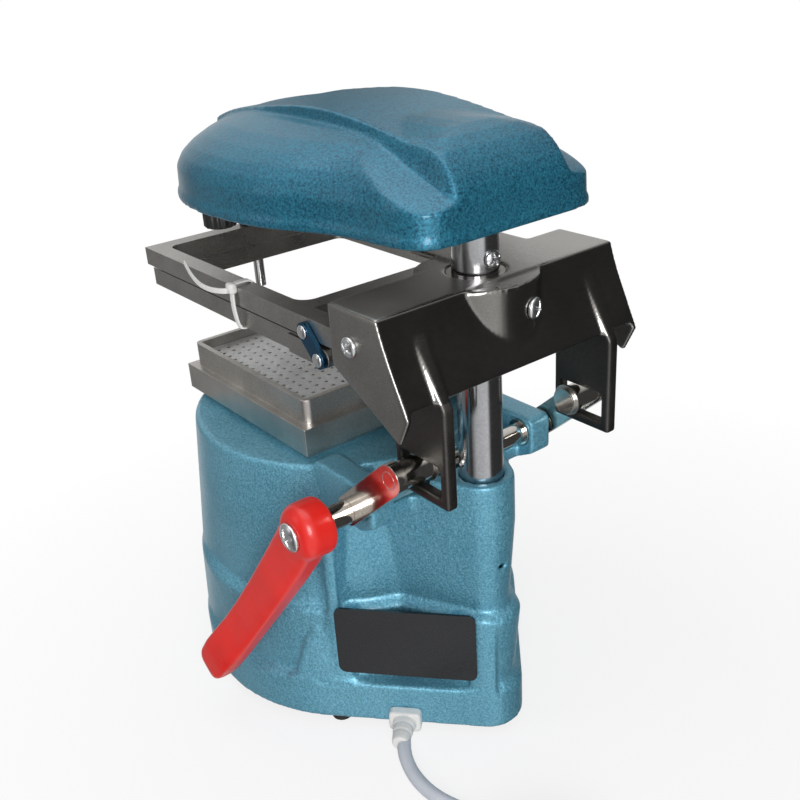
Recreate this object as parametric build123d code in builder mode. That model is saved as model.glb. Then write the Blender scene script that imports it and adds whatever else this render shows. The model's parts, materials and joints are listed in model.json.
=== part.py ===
"""Dental vacuum former: a cast base with a vacuum motor and a perforated plate, a round
post that carries a sliding sheet holder, a side lever that moves the holder up and down,
and a heater head that swings round the top of the post.

Frame: millimetres, +Z up. The origin is on the ground under the axis of the post.
The sheet holder and the plate lie towards -Y, the lever is on the +X side.
"""
import os
from math import asin, atan2, cos, degrees, hypot, pi, radians, sin, tan

from build123d import *

# ---------------------------------------------------------------- fits and general sizes
FIT = 0.05                    # radial clearance of a shaft, pin or screw in its hole
GAP = 0.3                     # clearance between faces that pass each other
RECESS_DEPTH = 1.0            # depth of a cross recess in a screw head
RECESS_WIDTH = 0.9            # width of one arm of a cross recess
RECESS_SPAN = 1.1             # length of a cross recess, in radii of the head
CROWN_SHARE = 0.45            # rounding of a screw head, as a share of its height

# ---------------------------------------------------------------- base casting
FOOT_HEIGHT = 4.0
FOOT_R = 5.5
PLINTH_TOP = 28.0             # first ledge
TIER_TOP = 72.0               # second ledge
DECK_Z = 151.5                # top of the drum, where the vacuum plate stands
COLUMN_TOP = 147.0
DRUM_Y = -111.0               # axis of the drum
PLINTH_R = 92.0
TIER_FOOT_R = 91.0            # drum between the two ledges, at its foot and at its top
TIER_TOP_R = 89.0
DRUM_FOOT_R = 88.0            # drum above the second ledge, at its foot and at the deck
DRUM_TOP_R = 81.0
COLUMN_PLINTH_R = 18.0
COLUMN_TIER_R = 17.6
COLUMN_R = 15.6
WEB_HALF = 38.0               # half width of the web where it meets the drum
WEB_Y = -42.0
WEB_END = 1.0                 # depth of the straight end of the web
TIER_STEP = 1.6               # how far the web of the lower tier stands out of the upper one
PILLAR_R = 8.0
PILLAR_X = 56.5
PILLAR_Y = -50.3
PILLAR_TOP = 116.0
DECK_THICK = 6.0
DRUM_WALL = 5.0
PLINTH_WALL = 3.0
PLINTH_ROOF = 4.0
BOTTOM_THICK = 2.0
BOSS_R = 5.0
FEET = [(0.0, 0.0), (59.4, -51.6), (-59.4, -51.6), (53.4, -178.8), (-53.4, -178.8)]
FOOT_SCREW_R = 2.0
FOOT_SCREW_HEAD_R = 3.8
FOOT_SCREW_HEAD = 1.6
FOOT_SCREW_LENGTH = 16.0
FOOT_POCKET = 2.2             # depth of the pocket that hides the screw head in the foot
FOOT_STEM = 12.0              # length of the stem of the rear foot, which has no screw
EAR_IN = 44.0                 # shaft ears, from this |x| to the next
EAR_OUT = 58.0
EAR_HALF = 9.5                # the ears are square blocks round the shaft
EAR_CORNER = 2.5
EAR_FOOT_Z = 130.0
EAR_FRONT_Y = -55.0
CHANNEL_Z = 137.0             # floor of the channel that the shaft runs in
CHANNEL_HALF = 7.5
PANEL_HALF = 44.0             # flat switch panel on the front of the drum
PANEL_Y = -201.0
PANEL_LOW = 64.0
PANEL_HIGH = 112.0
PANEL_CORNER = 4.0

# ---------------------------------------------------------------- label plate
LABEL_LENGTH = 71.5
LABEL_HEIGHT = 40.0
LABEL_THICK = 1.5
LABEL_LOW = 36.0
LABEL_CORNER = 4.0
LABEL_END = (62.3, -44.6)     # end at the pillar, and end at the column
LABEL_START = (15.0, 9.3)
LABEL_PAD = 7.0               # width of the cast pads that carry the plate
LABEL_PAD_DEPTH = 14.0
LABEL_PAD_PLACE = 27.0        # distance of the pads from the middle of the plate

# ---------------------------------------------------------------- vacuum plate and its sheet
PLATE_Y = -118.0              # middle of the vacuum plate and of both frames' window
FLANGE_HALF = 58.4
FLANGE_HEIGHT = 17.0
FLANGE_CHAMFER = 3.0
RIM_HALF = 54.5
RIM_IN_HALF = 51.5
RIM_TOP = 181.2
RIM_CORNER = 4.0
SHEET_THICK = 1.5
SHEET_TOP = 176.0
HOLE_R = 1.0
HOLE_PITCH = 6.0
HOLE_ROWS = 16
CHAMBER_HALF = 48.6
CHAMBER_DEPTH = 5.0
SUMP_HALF = 38.0
SUMP_FLOOR = 4.0
PORT_R = 12.0
SEAL_IN = 16.0
SEAL_OUT = 20.0
SEAL_THICK = 2.0
PLATE_SCREW_PLACE = 46.0
PLATE_SCREW_R = 2.5
PLATE_SCREW_HEAD_R = 4.2
PLATE_SCREW_HEAD = 3.0
PLATE_SCREW_LENGTH = 14.0

# ---------------------------------------------------------------- vacuum motor
MOTOR_FLANGE_R = 54.0
MOTOR_FLANGE_THICK = 3.0
GASKET_THICK = 2.0
GASKET_IN = 44.0
FAN_CASE_R = 44.0
FAN_CASE_HEIGHT = 40.0
MOTOR_CASE_R = 34.0
MOTOR_CASE_HEIGHT = 52.0
MOTOR_WALL = 2.0
FAN_R = 38.0
FAN_DISC = 2.0
FAN_HEIGHT = 16.0
FAN_HUB_R = 9.0
FAN_BLADES = 8
FAN_BLADE = 1.6
FAN_ROOT = 2.0                # how far the blades run into the hub
FAN_LIFT = 6.0                # height of the fan above the floor of its case
SHAFT_HOLE_PLAY = 1.0         # radial play of the motor shaft in the wall of the fan case
MOTOR_SHAFT_R = 4.0
ROTOR_R = 20.0
ROTOR_LENGTH = 30.0
STATOR_IN = 20.6
BEARING_R = 11.0
BEARING_THICK = 6.0
MOTOR_SCREW_R = 2.0
MOTOR_SCREW_HEAD_R = 3.5
MOTOR_SCREW_HEAD = 2.4
MOTOR_SCREWS = 4
MOTOR_SCREW_CIRCLE = 49.5

# ---------------------------------------------------------------- switches
SWITCH_X = 20.0
SWITCH_Z = 88.0
BEZEL_W = 25.0
BEZEL_H = 31.0
BEZEL_THICK = 2.0
BEZEL_CORNER = 2.0
SWITCH_W = 21.6
SWITCH_H = 26.6
SWITCH_DEPTH = 22.0
SWITCH_POCKET_W = 18.0
SWITCH_POCKET_H = 24.4
SWITCH_POCKET = 9.0
ROCKER_HALF = 11.2
ROCKER_W = 17.2
ROCKER_TILT = 8.0             # tilt of a rocker at either end of its throw
ROCKER_TIP = 5.5              # reach of its ends in front of the hinge
ROCKER_MID = 3.6
ROCKER_BACK = 2.6
ROCKER_AXLE_R = 1.5
ROCKER_AXIS_Y = -200.0

# ---------------------------------------------------------------- post
POST_R = 10.5
POST_BORE_R = 8.0
POST_FOOT = 66.0
POST_TOP = 290.0
POST_PIN_Z = 100.0            # screw that fixes the post in the column
DUCT_R = 6.0
STOP_Z = 254.0                # stop screw above the carrier
STOP_HEAD_R = 4.2
STOP_HEAD = 2.8
STOP_R = 2.0
STOP_LENGTH = 4.0

# ---------------------------------------------------------------- carrier
STROKE = 44.0                 # travel of the carrier down the post
HOOD_HALF = 68.0
HOOD_WALL = 2.7
HOOD_TOP = 247.4
HOOD_FRONT = -15.0
HOOD_BACK = [(17.0, 247.4), (22.6, 232.4), (28.2, 220.8), (33.7, 209.5)]
HOOD_BACK_LOW = 212.0         # lower edge of the slanted back
HOOD_HEEL = (27.5, 197.0)     # lower rear corner of the side plates
HOOD_TOE_Z = 219.5            # lower front corner of the side plates
HOOD_BACK_WALL = 3.2          # wall of the slanted back, measured along Y
SLEEVE_R = 28.0
SLEEVE_DROP = 0.8             # the sleeve's top lies this far below the top plate
SLEEVE_LOW = 212.5
BUSH_R = 13.0
TONGUE_NEAR = -0.5            # tongue in front of the top plate
TONGUE_FAR = -46.5
TONGUE_FRONT = -46.0
CHEEK_IN = 46.0
CHEEK_OUT = 52.0
CHEEK_FRONT = 3.0
CHEEK_BACK = 36.5
CHEEK_SHOULDER_Z = 209.0      # above it the cheek follows the slanted back
CHEEK_LOW = 163.0
SET_SCREW_Z = 234.0
SET_SCREW_ANGLE = 106.5
SET_SCREW_R = 2.5
SET_SCREW_HEAD_R = 5.0
SET_SCREW_HEAD = 3.0
SET_SCREW_LENGTH = 12.0
PIVOT_Y = -0.8
PIVOT_Z = 231.7
PIVOT_R = 2.0
PIVOT_HEAD_R = 4.6
PIVOT_HEAD = 2.8
PIVOT_LENGTH = 9.5

# ---------------------------------------------------------------- frames
FRAME_HALF = 65.0
FRAME_FRONT = -191.9
FRAME_BAR = 9.5
WINDOW_HALF = 55.5
WINDOW_FRONT = -182.4
WINDOW_REAR = -53.7
WINDOW_FRONT_CORNER = 5.0
WINDOW_REAR_CORNER = 8.0
UPPER_LOW = 223.0
UPPER_TOP = 234.1
ARM_REAR = 5.0
FRAME_BEVEL = 1.8             # depth of the bevel under the outer edge of the upper frame
FRAME_BEVEL_HEIGHT = 5.4
LOWER_INSET = 2.0
LOWER_LOW = 213.4
HINGE_Y = -26.8               # hinge of the lower frame on the link plates
HINGE_Z = 217.8
HINGE_END_R = 4.4
LINK_TOP_Y = -36.8
LINK_TOP_Z = 228.1
LINK_R = 4.2
LINK_THICK = 2.0
RIVET_R = 1.6
RIVET_HEAD_R = 3.2
RIVET_HEAD = 1.6
RIVET_LENGTH = 6.8
EAR_THICK = 6.8
CLAMP_Y = -187.0
CLAMP_SCREW_R = 2.5
CLAMP_KNOB_R = 8.0
CLAMP_KNOB_HEIGHT = 12.5
CLAMP_KNOB_FLUTES = 12
CLAMP_KNOB_GRIP = 8.0
FLUTE_R = 1.0
STOP_PIN_R = 3.0
STOP_PIN_LOW = 197.0
STOP_PIN_NECK_R = 2.0
STOP_PIN_NECK = 5.0

# ---------------------------------------------------------------- cross shaft, cranks and lever
SHAFT_Y = -20.0
SHAFT_Z = 144.5
SHAFT_R = 5.0
SHAFT_BUSH_R = 6.9
STUB_R = 6.0
ARM_IN = 59.5
ARM_OUT = 64.5
CRANK_LENGTH = 45.0
CRANK_ANGLE = 41.6            # angle of the cranks above +Y with the carrier at the top
CRANK_SWING = 60.0            # turn of the cranks over the whole stroke
CRANK_HALF = 7.2
PIN_R = 6.25
PIN_IN = 41.0
PIN_NECK_R = 4.0
CLIP_PLACE = 43.0
CLIP_THICK = 1.0
CLIP_GROOVE_R = 5.4
CLIP_R = 7.6
SLOT_RISE = 1.25              # how far the crank pin runs above its straight path
HUB_IN = 78.0
HUB_OUT = 95.0
HUB_R = 13.5
HUB_ROUND = 3.0
SHAFT_END = 90.0
LEVER_ANGLE = 55.0            # slope of the lever below the horizontal, towards the front
LEVER_LENGTH = 129.0
LEVER_ROOT_X = 86.6           # middle of the arm at the hub, at its bend and at its tip
LEVER_BEND_X = 94.5
LEVER_TIP_X = 104.0
LEVER_BEND = 0.66             # share of the arm's length at which it turns outwards
LEVER_ROOT = (15.6, 22.0)     # thickness and width of the arm at the hub
LEVER_NECK = (12.2, 18.6)     # the same at the bend
LEVER_CORNER = 4.0
LEVER_SCREW_HEAD_R = 7.0
LEVER_SCREW_HEAD = 3.4
LEVER_SCREW_R = 2.5
LEVER_SCREW_LENGTH = 16.0

# ---------------------------------------------------------------- heater head
HEAD_LOW = 270.5
HEAD_CENTRE_Y = -104.0
HEAD_R = 74.0
HEAD_SPINE_REAR = -10.0
HEAD_SIDE = [(73.4, -80.0), (68.0, -53.0), (58.2, -29.5), (52.6, -5.0), (50.6, 12.0), (44.5, 22.8), (30.0, 26.0)]
HEAD_REAR = 26.0
HEAD_WALL = 2.5
HEAD_RISE = [                 # height above the lower edge, and how far the plan is drawn in there
    (0.0, 0.0), (15.0, 0.01), (20.0, 0.05), (24.5, 0.12), (29.0, 0.22), (33.0, 0.34), (36.5, 0.52),
    (38.7, 0.72), (39.6, 0.9),
]
HEAD_BEAD = 0.8
HEAD_BEAD_HEIGHT = 3.5
BAND_HALF = 30.0
BAND_CROWN = [(25.5, 287.5), (20.0, 294.5), (9.0, 302.0), (-9.0, 306.5), (-31.0, 310.0), (-70.0, 313.2)]
BAND_FRONT_CROWN = [(-114.0, 309.8), (-140.0, 306.0), (-158.0, 300.5)]
BAND_FRONT_DROP = 4.0         # height of the band's solid at its front end
BAND_FOOT = 5.0               # height of its rear foot above the lower edge
BASE_PLATE_THICK = 2.0
HEATER_Y = -110.0
HEATER_HOLE_R = 50.0
PAN_HEIGHT = 19.0
PAN_WALL = 1.0
PAN_FLANGE = 5.0
TILE_R = 46.0
TILE_Z = 274.2
TILE_THICK = 8.0
COIL_WIRE_R = 2.5
COIL_RADII = [12.0, 25.0, 38.0]
STUD_R = 3.0
HUB_SLEEVE_R = 16.0
HUB_SLEEVE_LOW = 268.0
HUB_CAP = 4.0
HEAD_SCREWS = [(22.0, 18.0), (-22.0, 18.0), (46.0, -150.0), (-46.0, -150.0)]
HEAD_BOSS_R = 4.5
HEAD_SCREW_R = 1.75
HEAD_SCREW_HEAD_R = 3.4
HEAD_SCREW_HEAD = 2.0
HEAD_SCREW_LENGTH = 10.0
KNOB_X = 61.0
KNOB_Y = -109.0
KNOB_R = 8.0
KNOB_HEIGHT = 15.5
KNOB_SCREW_R = 2.0
KNOB_SCREW_LENGTH = 9.0
KNOB_NUT_R = 4.0
KNOB_NUT = 3.0

# ---------------------------------------------------------------- mains cord
CORD_ARC_SHARE = 0.45         # radius of the cord at a bend, as a share of the shorter run beside it
CORD_R = 3.5
GLAND_Z = 9.0
GLAND_RUN = 41.3              # place of the gland along the straight side of the plinth
GLAND_FLANGE_R = 7.2
GLAND_FLANGE = 2.5
GLAND_NOSE_R = 5.2
GLAND_NOSE = 8.0
GLAND_BODY_R = 4.5
GLAND_NUT_R = 6.4
GLAND_NUT = 4.0
GLAND_BACK = 9.0
CORD_ROUTE = [
    (31.04, -27.65, 9.0),
    (53.62, -7.45, 9.0),
    (61.9, 9.5, 5.4),
    (62.1, 29.0, 3.6),
    (54.0, 50.0, 3.6),
    (42.0, 69.0, 3.6),
    (28.5, 87.5, 3.6),
    (23.5, 112.0, 3.6),
]
COIL_CENTRE = (62.0, 108.0)
COIL_MID_R = 38.5
COIL_HALF_WIDTH = 7.0
COIL_HEIGHT = 20.4
COIL_LOW = 0.1
TAIL_ROUTE = [
    (52.0, 146.5, 3.6),
    (76.0, 147.5, 3.6),
    (97.0, 144.5, 4.4),
    (116.0, 135.5, 7.6),
]
PLUG_LENGTH = 36.0
PLUG_WIDTH = 30.0
PLUG_HEIGHT = 15.0
PLUG_ROUND = 5.0
PLUG_PIN_R = 2.4
PLUG_PIN_LENGTH = 19.0
PLUG_PIN_PLACE = 9.5

# ---------------------------------------------------------------- terminal block
TERMINAL_LENGTH = 40.0
TERMINAL_WIDTH = 18.0
TERMINAL_HEIGHT = 14.0
TERMINAL_Y = -44.0
TERMINAL_WAYS = 4
TERMINAL_HOLE_R = 2.4


# ---------------------------------------------------------------- shapes used more than once
def disc(plane, radius, start, end, bore=0.0):
    """Round piece along the normal of the plane, from start to end, with an optional bore."""
    with BuildPart() as piece:
        with BuildSketch(plane.offset(start)):
            Circle(radius)
            if bore > 0:
                Circle(bore, mode=Mode.SUBTRACT)
        extrude(amount=end - start)
    return piece.part


def slab(plane, width, height, start, end, corner=0.0):
    """Rectangular piece on the plane, from start to end along its normal."""
    with BuildPart() as piece:
        with BuildSketch(plane.offset(start)):
            if corner > 0:
                RectangleRounded(width, height, corner)
            else:
                Rectangle(width, height)
        extrude(amount=end - start)
    return piece.part


def pan_screw(plane, head_r, head, shank_r, length):
    """Pan-head screw with a cross recess: the plane is its seat and faces out along the head."""
    with BuildPart() as screw:
        with BuildSketch(plane):
            Circle(shank_r)
        extrude(amount=-length)
        with BuildSketch(plane):
            Circle(head_r)
        extrude(amount=head)
        crown = screw.faces().sort_by(Axis(plane.origin, plane.z_dir))[-1]
        fillet(crown.edges(), radius=head * CROWN_SHARE)
        with BuildSketch(plane.offset(head)):
            Rectangle(head_r * RECESS_SPAN, RECESS_WIDTH)
            Rectangle(RECESS_WIDTH, head_r * RECESS_SPAN)
        extrude(amount=-RECESS_DEPTH, mode=Mode.SUBTRACT)
    return screw.part


def web_outline(radius, grow):
    """Plan of the web that tapers from the drum to the column."""
    with BuildSketch() as outline:
        Circle(radius)
        with Locations((0, WEB_Y)):
            Rectangle(2 * (WEB_HALF + grow), WEB_END)
        make_hull()
    return outline.sketch


def plinth_outline(margin):
    """Plan of the plinth: a teardrop round the drum and the column, drawn in by the margin."""
    with BuildSketch() as outline:
        with Locations((0, DRUM_Y)):
            Circle(PLINTH_R - margin)
        Circle(COLUMN_PLINTH_R - margin)
        make_hull()
    return outline.sketch


def drum(start, end, start_r, end_r):
    """Drafted round wall of the drum."""
    with BuildPart() as piece:
        with BuildSketch(Plane((0, DRUM_Y, start))):
            Circle(start_r)
        extrude(amount=end - start, taper=degrees(atan2(start_r - end_r, end - start)))
    return piece.part


def side_plane(x, y, z, side):
    """Plane across X at a point, facing away from the middle on the given side."""
    return Plane((x, y, z), x_dir=(0, side, 0), z_dir=(side, 0, 0))


def save(builder, name):
    """Label a finished piece and write its STEP file."""
    builder.part.label = name
    export_step(builder.part, "parts/" + name + ".step")


os.makedirs("parts", exist_ok=True)

# ================================================================ base
plate_top = DECK_Z + FLANGE_HEIGHT
ceiling = DECK_Z - DECK_THICK
casting_floor = FOOT_HEIGHT + BOTTOM_THICK
plinth_ceiling = PLINTH_TOP - PLINTH_ROOF
plate_screw_spots = [
    (sx * PLATE_SCREW_PLACE, PLATE_Y + sy * PLATE_SCREW_PLACE) for sx in (1, -1) for sy in (1, -1)
]
label_run = (LABEL_END[0] - LABEL_START[0], LABEL_END[1] - LABEL_START[1])
label_mid = ((LABEL_END[0] + LABEL_START[0]) / 2, (LABEL_END[1] + LABEL_START[1]) / 2)
label_plane = Plane(
    (label_mid[0], label_mid[1], LABEL_LOW + LABEL_HEIGHT / 2),
    x_dir=(label_run[0], label_run[1], 0),
    z_dir=(-label_run[1], label_run[0], 0),
)
side_turn = asin((PLINTH_R - COLUMN_PLINTH_R) / -DRUM_Y)
side_normal = (cos(side_turn), sin(side_turn))
gland_point = (
    COLUMN_PLINTH_R * side_normal[0] + GLAND_RUN * side_normal[1],
    COLUMN_PLINTH_R * side_normal[1] - GLAND_RUN * side_normal[0],
    GLAND_Z,
)
gland_plane = Plane(gland_point, x_dir=(0, 0, 1), z_dir=(side_normal[0], side_normal[1], 0))
shaft_side = side_plane(0, SHAFT_Y, SHAFT_Z, 1)
post_pin_seat = Plane((0, COLUMN_R, POST_PIN_Z), x_dir=(1, 0, 0), z_dir=(0, 1, 0))
switch_planes = [
    Plane((sx * SWITCH_X, PANEL_Y, SWITCH_Z), x_dir=(1, 0, 0), z_dir=(0, -1, 0)) for sx in (-1, 1)
]

with BuildPart() as base_casting:
    with BuildSketch(Plane.XY.offset(FOOT_HEIGHT)):
        add(plinth_outline(0))
    extrude(amount=PLINTH_TOP - FOOT_HEIGHT)
    add(drum(PLINTH_TOP, TIER_TOP, TIER_FOOT_R, TIER_TOP_R))
    add(drum(TIER_TOP, DECK_Z, DRUM_FOOT_R, DRUM_TOP_R))
    with BuildSketch(Plane.XY.offset(PLINTH_TOP)):
        add(web_outline(COLUMN_TIER_R, TIER_STEP))
    extrude(amount=TIER_TOP - PLINTH_TOP)
    with BuildSketch(Plane.XY.offset(TIER_TOP)):
        add(web_outline(COLUMN_R, 0))
    extrude(amount=COLUMN_TOP - TIER_TOP)
    for side in (1, -1):
        add(disc(Plane((side * PILLAR_X, PILLAR_Y, 0)), PILLAR_R, PLINTH_TOP, PILLAR_TOP))
        with Locations((side * PILLAR_X, PILLAR_Y, PILLAR_TOP)):
            Sphere(PILLAR_R)
        with BuildSketch(Plane.YZ.offset(side * EAR_IN)):
            with BuildLine():
                Polyline(
                    (EAR_FRONT_Y, EAR_FOOT_Z),
                    (EAR_FRONT_Y, SHAFT_Z + EAR_HALF),
                    (SHAFT_Y + EAR_HALF - EAR_CORNER, SHAFT_Z + EAR_HALF),
                    (SHAFT_Y + EAR_HALF, SHAFT_Z + EAR_HALF - EAR_CORNER),
                    (SHAFT_Y + EAR_HALF, SHAFT_Z - EAR_HALF),
                    (SHAFT_Y, EAR_FOOT_Z),
                    close=True,
                )
            make_face()
        extrude(amount=side * (EAR_OUT - EAR_IN))
    with BuildSketch(Plane.XY.offset(EAR_FOOT_Z)):
        with Locations((0, (SHAFT_Y + WEB_Y) / 2)):
            Rectangle(2 * EAR_OUT, SHAFT_Y - WEB_Y)
    extrude(amount=CHANNEL_Z - EAR_FOOT_Z)
    with BuildSketch(Plane.XZ.offset(-PANEL_Y)):
        with Locations((0, (PANEL_LOW + PANEL_HIGH) / 2)):
            RectangleRounded(2 * PANEL_HALF, PANEL_HIGH - PANEL_LOW, PANEL_CORNER)
    extrude(amount=PANEL_Y - DRUM_Y)
    for place in (-LABEL_PAD_PLACE, LABEL_PAD_PLACE):
        pad = Plane(label_plane.location * Pos(place, 0, 0))
        add(slab(pad, LABEL_PAD, LABEL_HEIGHT - 2 * LABEL_CORNER, -LABEL_PAD_DEPTH, 0))
    # channel for the shaft in front of the column
    with BuildSketch(Plane.XY.offset(CHANNEL_Z)):
        with Locations((0, SHAFT_Y)):
            Rectangle(2 * EAR_IN, 2 * CHANNEL_HALF)
    extrude(amount=DECK_Z - CHANNEL_Z, mode=Mode.SUBTRACT)
    # rooms inside
    with BuildSketch(Plane.XY.offset(FOOT_HEIGHT)):
        add(plinth_outline(PLINTH_WALL))
    extrude(amount=plinth_ceiling - FOOT_HEIGHT, mode=Mode.SUBTRACT)
    add(
        drum(plinth_ceiling, ceiling, DRUM_FOOT_R - DRUM_WALL, DRUM_TOP_R - DRUM_WALL),
        mode=Mode.SUBTRACT,
    )
    for x, y in FEET:
        add(disc(Plane((x, y, 0)), BOSS_R, casting_floor, plinth_ceiling))
        add(
            disc(Plane((x, y, 0)), FOOT_SCREW_R + FIT, casting_floor, FOOT_HEIGHT + FOOT_SCREW_LENGTH),
            mode=Mode.SUBTRACT,
        )
    # bores
    add(disc(Plane.XY, POST_R + FIT, POST_FOOT, COLUMN_TOP), mode=Mode.SUBTRACT)
    add(disc(Plane.XY, DUCT_R, plinth_ceiling + PLINTH_ROOF, POST_FOOT), mode=Mode.SUBTRACT)
    add(disc(shaft_side, SHAFT_BUSH_R + FIT, -EAR_OUT, EAR_OUT), mode=Mode.SUBTRACT)
    add(disc(post_pin_seat, PIVOT_R + FIT, POST_R - COLUMN_R - STOP_LENGTH, 0), mode=Mode.SUBTRACT)
    add(disc(Plane((0, PLATE_Y, 0)), PORT_R, ceiling, DECK_Z), mode=Mode.SUBTRACT)
    for x, y in plate_screw_spots:
        add(disc(Plane((x, y, 0)), PLATE_SCREW_R + FIT, ceiling, DECK_Z), mode=Mode.SUBTRACT)
    with PolarLocations(MOTOR_SCREW_CIRCLE, MOTOR_SCREWS, start_angle=0) as motor_spots:
        motor_points = [spot.position for spot in motor_spots.locations]
    for spot in motor_points:
        place = Plane((spot.X, spot.Y + PLATE_Y, 0))
        add(disc(place, MOTOR_SCREW_R + FIT, ceiling, ceiling + DECK_THICK / 2), mode=Mode.SUBTRACT)
    for seat in switch_planes:
        add(slab(seat, SWITCH_W + 2 * FIT, SWITCH_H + 2 * FIT, PANEL_Y - DRUM_Y, 0), mode=Mode.SUBTRACT)
    add(disc(gland_plane, GLAND_BODY_R + FIT, -PLINTH_WALL - PLINTH_WALL, 0), mode=Mode.SUBTRACT)
save(base_casting, "base_casting")

with BuildPart() as bottom_plate:
    with BuildSketch(Plane.XY.offset(FOOT_HEIGHT)):
        add(plinth_outline(PLINTH_WALL + GAP))
        with Locations(*FEET):
            Circle(FOOT_SCREW_R + FIT, mode=Mode.SUBTRACT)
    extrude(amount=BOTTOM_THICK)
    add(disc(gland_plane, GLAND_NUT_R + GAP, -2 * GLAND_BACK, 0), mode=Mode.SUBTRACT)
save(bottom_plate, "bottom_plate")

screwed_feet = FEET[1:]
with BuildPart() as rubber_feet:
    add(disc(Plane.XY, FOOT_R, 0, FOOT_HEIGHT))
    add(disc(Plane.XY, FOOT_SCREW_R, FOOT_HEIGHT, FOOT_HEIGHT + FOOT_STEM))
    for x, y in screwed_feet:
        foot = Plane((x, y, 0))
        add(disc(foot, FOOT_R, 0, FOOT_HEIGHT, bore=FOOT_SCREW_R + FIT))
        add(disc(foot, FOOT_SCREW_HEAD_R + GAP, 0, FOOT_POCKET), mode=Mode.SUBTRACT)
save(rubber_feet, "rubber_feet")

with BuildPart() as foot_screws:
    for x, y in screwed_feet:
        seat = Plane((x, y, FOOT_POCKET), x_dir=(1, 0, 0), z_dir=(0, 0, -1))
        add(pan_screw(seat, FOOT_SCREW_HEAD_R, FOOT_SCREW_HEAD, FOOT_SCREW_R, FOOT_SCREW_LENGTH))
save(foot_screws, "foot_screws")

with BuildPart() as label_plate:
    add(slab(label_plane, LABEL_LENGTH, LABEL_HEIGHT, 0, LABEL_THICK, corner=LABEL_CORNER))
save(label_plate, "label_plate")

with BuildPart() as shaft_bushes:
    for side in (1, -1):
        ear = side_plane(0, SHAFT_Y, SHAFT_Z, side)
        add(disc(ear, SHAFT_BUSH_R, EAR_IN, EAR_OUT, bore=SHAFT_R + FIT))
save(shaft_bushes, "shaft_bushes")

# ---------------------------------------------------------------- vacuum plate
with BuildPart() as vacuum_plate:
    with BuildSketch(Plane((0, PLATE_Y, DECK_Z))):
        Rectangle(2 * FLANGE_HALF, 2 * FLANGE_HALF)
    extrude(amount=FLANGE_HEIGHT)
    chamfer(vacuum_plate.faces().sort_by(Axis.Z)[0].edges(), length=FLANGE_CHAMFER)
    with BuildSketch(Plane((0, PLATE_Y, plate_top))):
        RectangleRounded(2 * RIM_HALF, 2 * RIM_HALF, RIM_CORNER)
    extrude(amount=RIM_TOP - plate_top)
    for half, low, high in (
        (RIM_IN_HALF, SHEET_TOP - SHEET_THICK, RIM_TOP),
        (CHAMBER_HALF, SHEET_TOP - SHEET_THICK - CHAMBER_DEPTH, SHEET_TOP - SHEET_THICK),
        (SUMP_HALF, DECK_Z + SUMP_FLOOR, SHEET_TOP - SHEET_THICK - CHAMBER_DEPTH),
    ):
        with BuildSketch(Plane((0, PLATE_Y, low))):
            Rectangle(2 * half, 2 * half)
        extrude(amount=high - low, mode=Mode.SUBTRACT)
    add(disc(Plane((0, PLATE_Y, DECK_Z)), PORT_R, 0, SUMP_FLOOR), mode=Mode.SUBTRACT)
    add(disc(Plane((0, PLATE_Y, DECK_Z)), SEAL_OUT + FIT, 0, SEAL_THICK, bore=SEAL_IN - FIT), mode=Mode.SUBTRACT)
    for x, y in plate_screw_spots:
        place = Plane((x, y, DECK_Z))
        reach = PLATE_SCREW_LENGTH - DECK_THICK + GAP
        add(disc(place, PLATE_SCREW_R + FIT, 0, reach), mode=Mode.SUBTRACT)
save(vacuum_plate, "vacuum_plate")

with BuildPart() as perforated_sheet:
    with BuildSketch(Plane((0, PLATE_Y, SHEET_TOP - SHEET_THICK))):
        Rectangle(2 * (RIM_IN_HALF - GAP), 2 * (RIM_IN_HALF - GAP))
        with GridLocations(HOLE_PITCH, HOLE_PITCH, HOLE_ROWS, HOLE_ROWS):
            Circle(HOLE_R, mode=Mode.SUBTRACT)
    extrude(amount=SHEET_THICK)
save(perforated_sheet, "perforated_sheet")

with BuildPart() as port_seal:
    add(disc(Plane((0, PLATE_Y, DECK_Z)), SEAL_OUT, 0, SEAL_THICK, bore=SEAL_IN))
save(port_seal, "port_seal")

with BuildPart() as plate_screws:
    for x, y in plate_screw_spots:
        seat = Plane((x, y, ceiling), x_dir=(1, 0, 0), z_dir=(0, 0, -1))
        add(pan_screw(seat, PLATE_SCREW_HEAD_R, PLATE_SCREW_HEAD, PLATE_SCREW_R, PLATE_SCREW_LENGTH))
save(plate_screws, "plate_screws")

# ---------------------------------------------------------------- vacuum motor
flange_top = ceiling - GASKET_THICK
flange_low = flange_top - MOTOR_FLANGE_THICK
fan_low = flange_low - FAN_CASE_HEIGHT
motor_low = fan_low - MOTOR_CASE_HEIGHT
motor_axis = Plane((0, PLATE_Y, 0))
bearing_seats = [motor_low + MOTOR_WALL, fan_low - BEARING_THICK]
rotor_low = (bearing_seats[0] + bearing_seats[1] + BEARING_THICK - ROTOR_LENGTH) / 2

with BuildPart() as motor_gasket:
    add(disc(motor_axis, MOTOR_FLANGE_R, flange_top, ceiling, bore=GASKET_IN))
    for spot in motor_points:
        hole = Plane((spot.X, spot.Y + PLATE_Y, 0))
        add(disc(hole, MOTOR_SCREW_R + FIT, flange_top, ceiling), mode=Mode.SUBTRACT)
save(motor_gasket, "motor_gasket")

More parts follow.
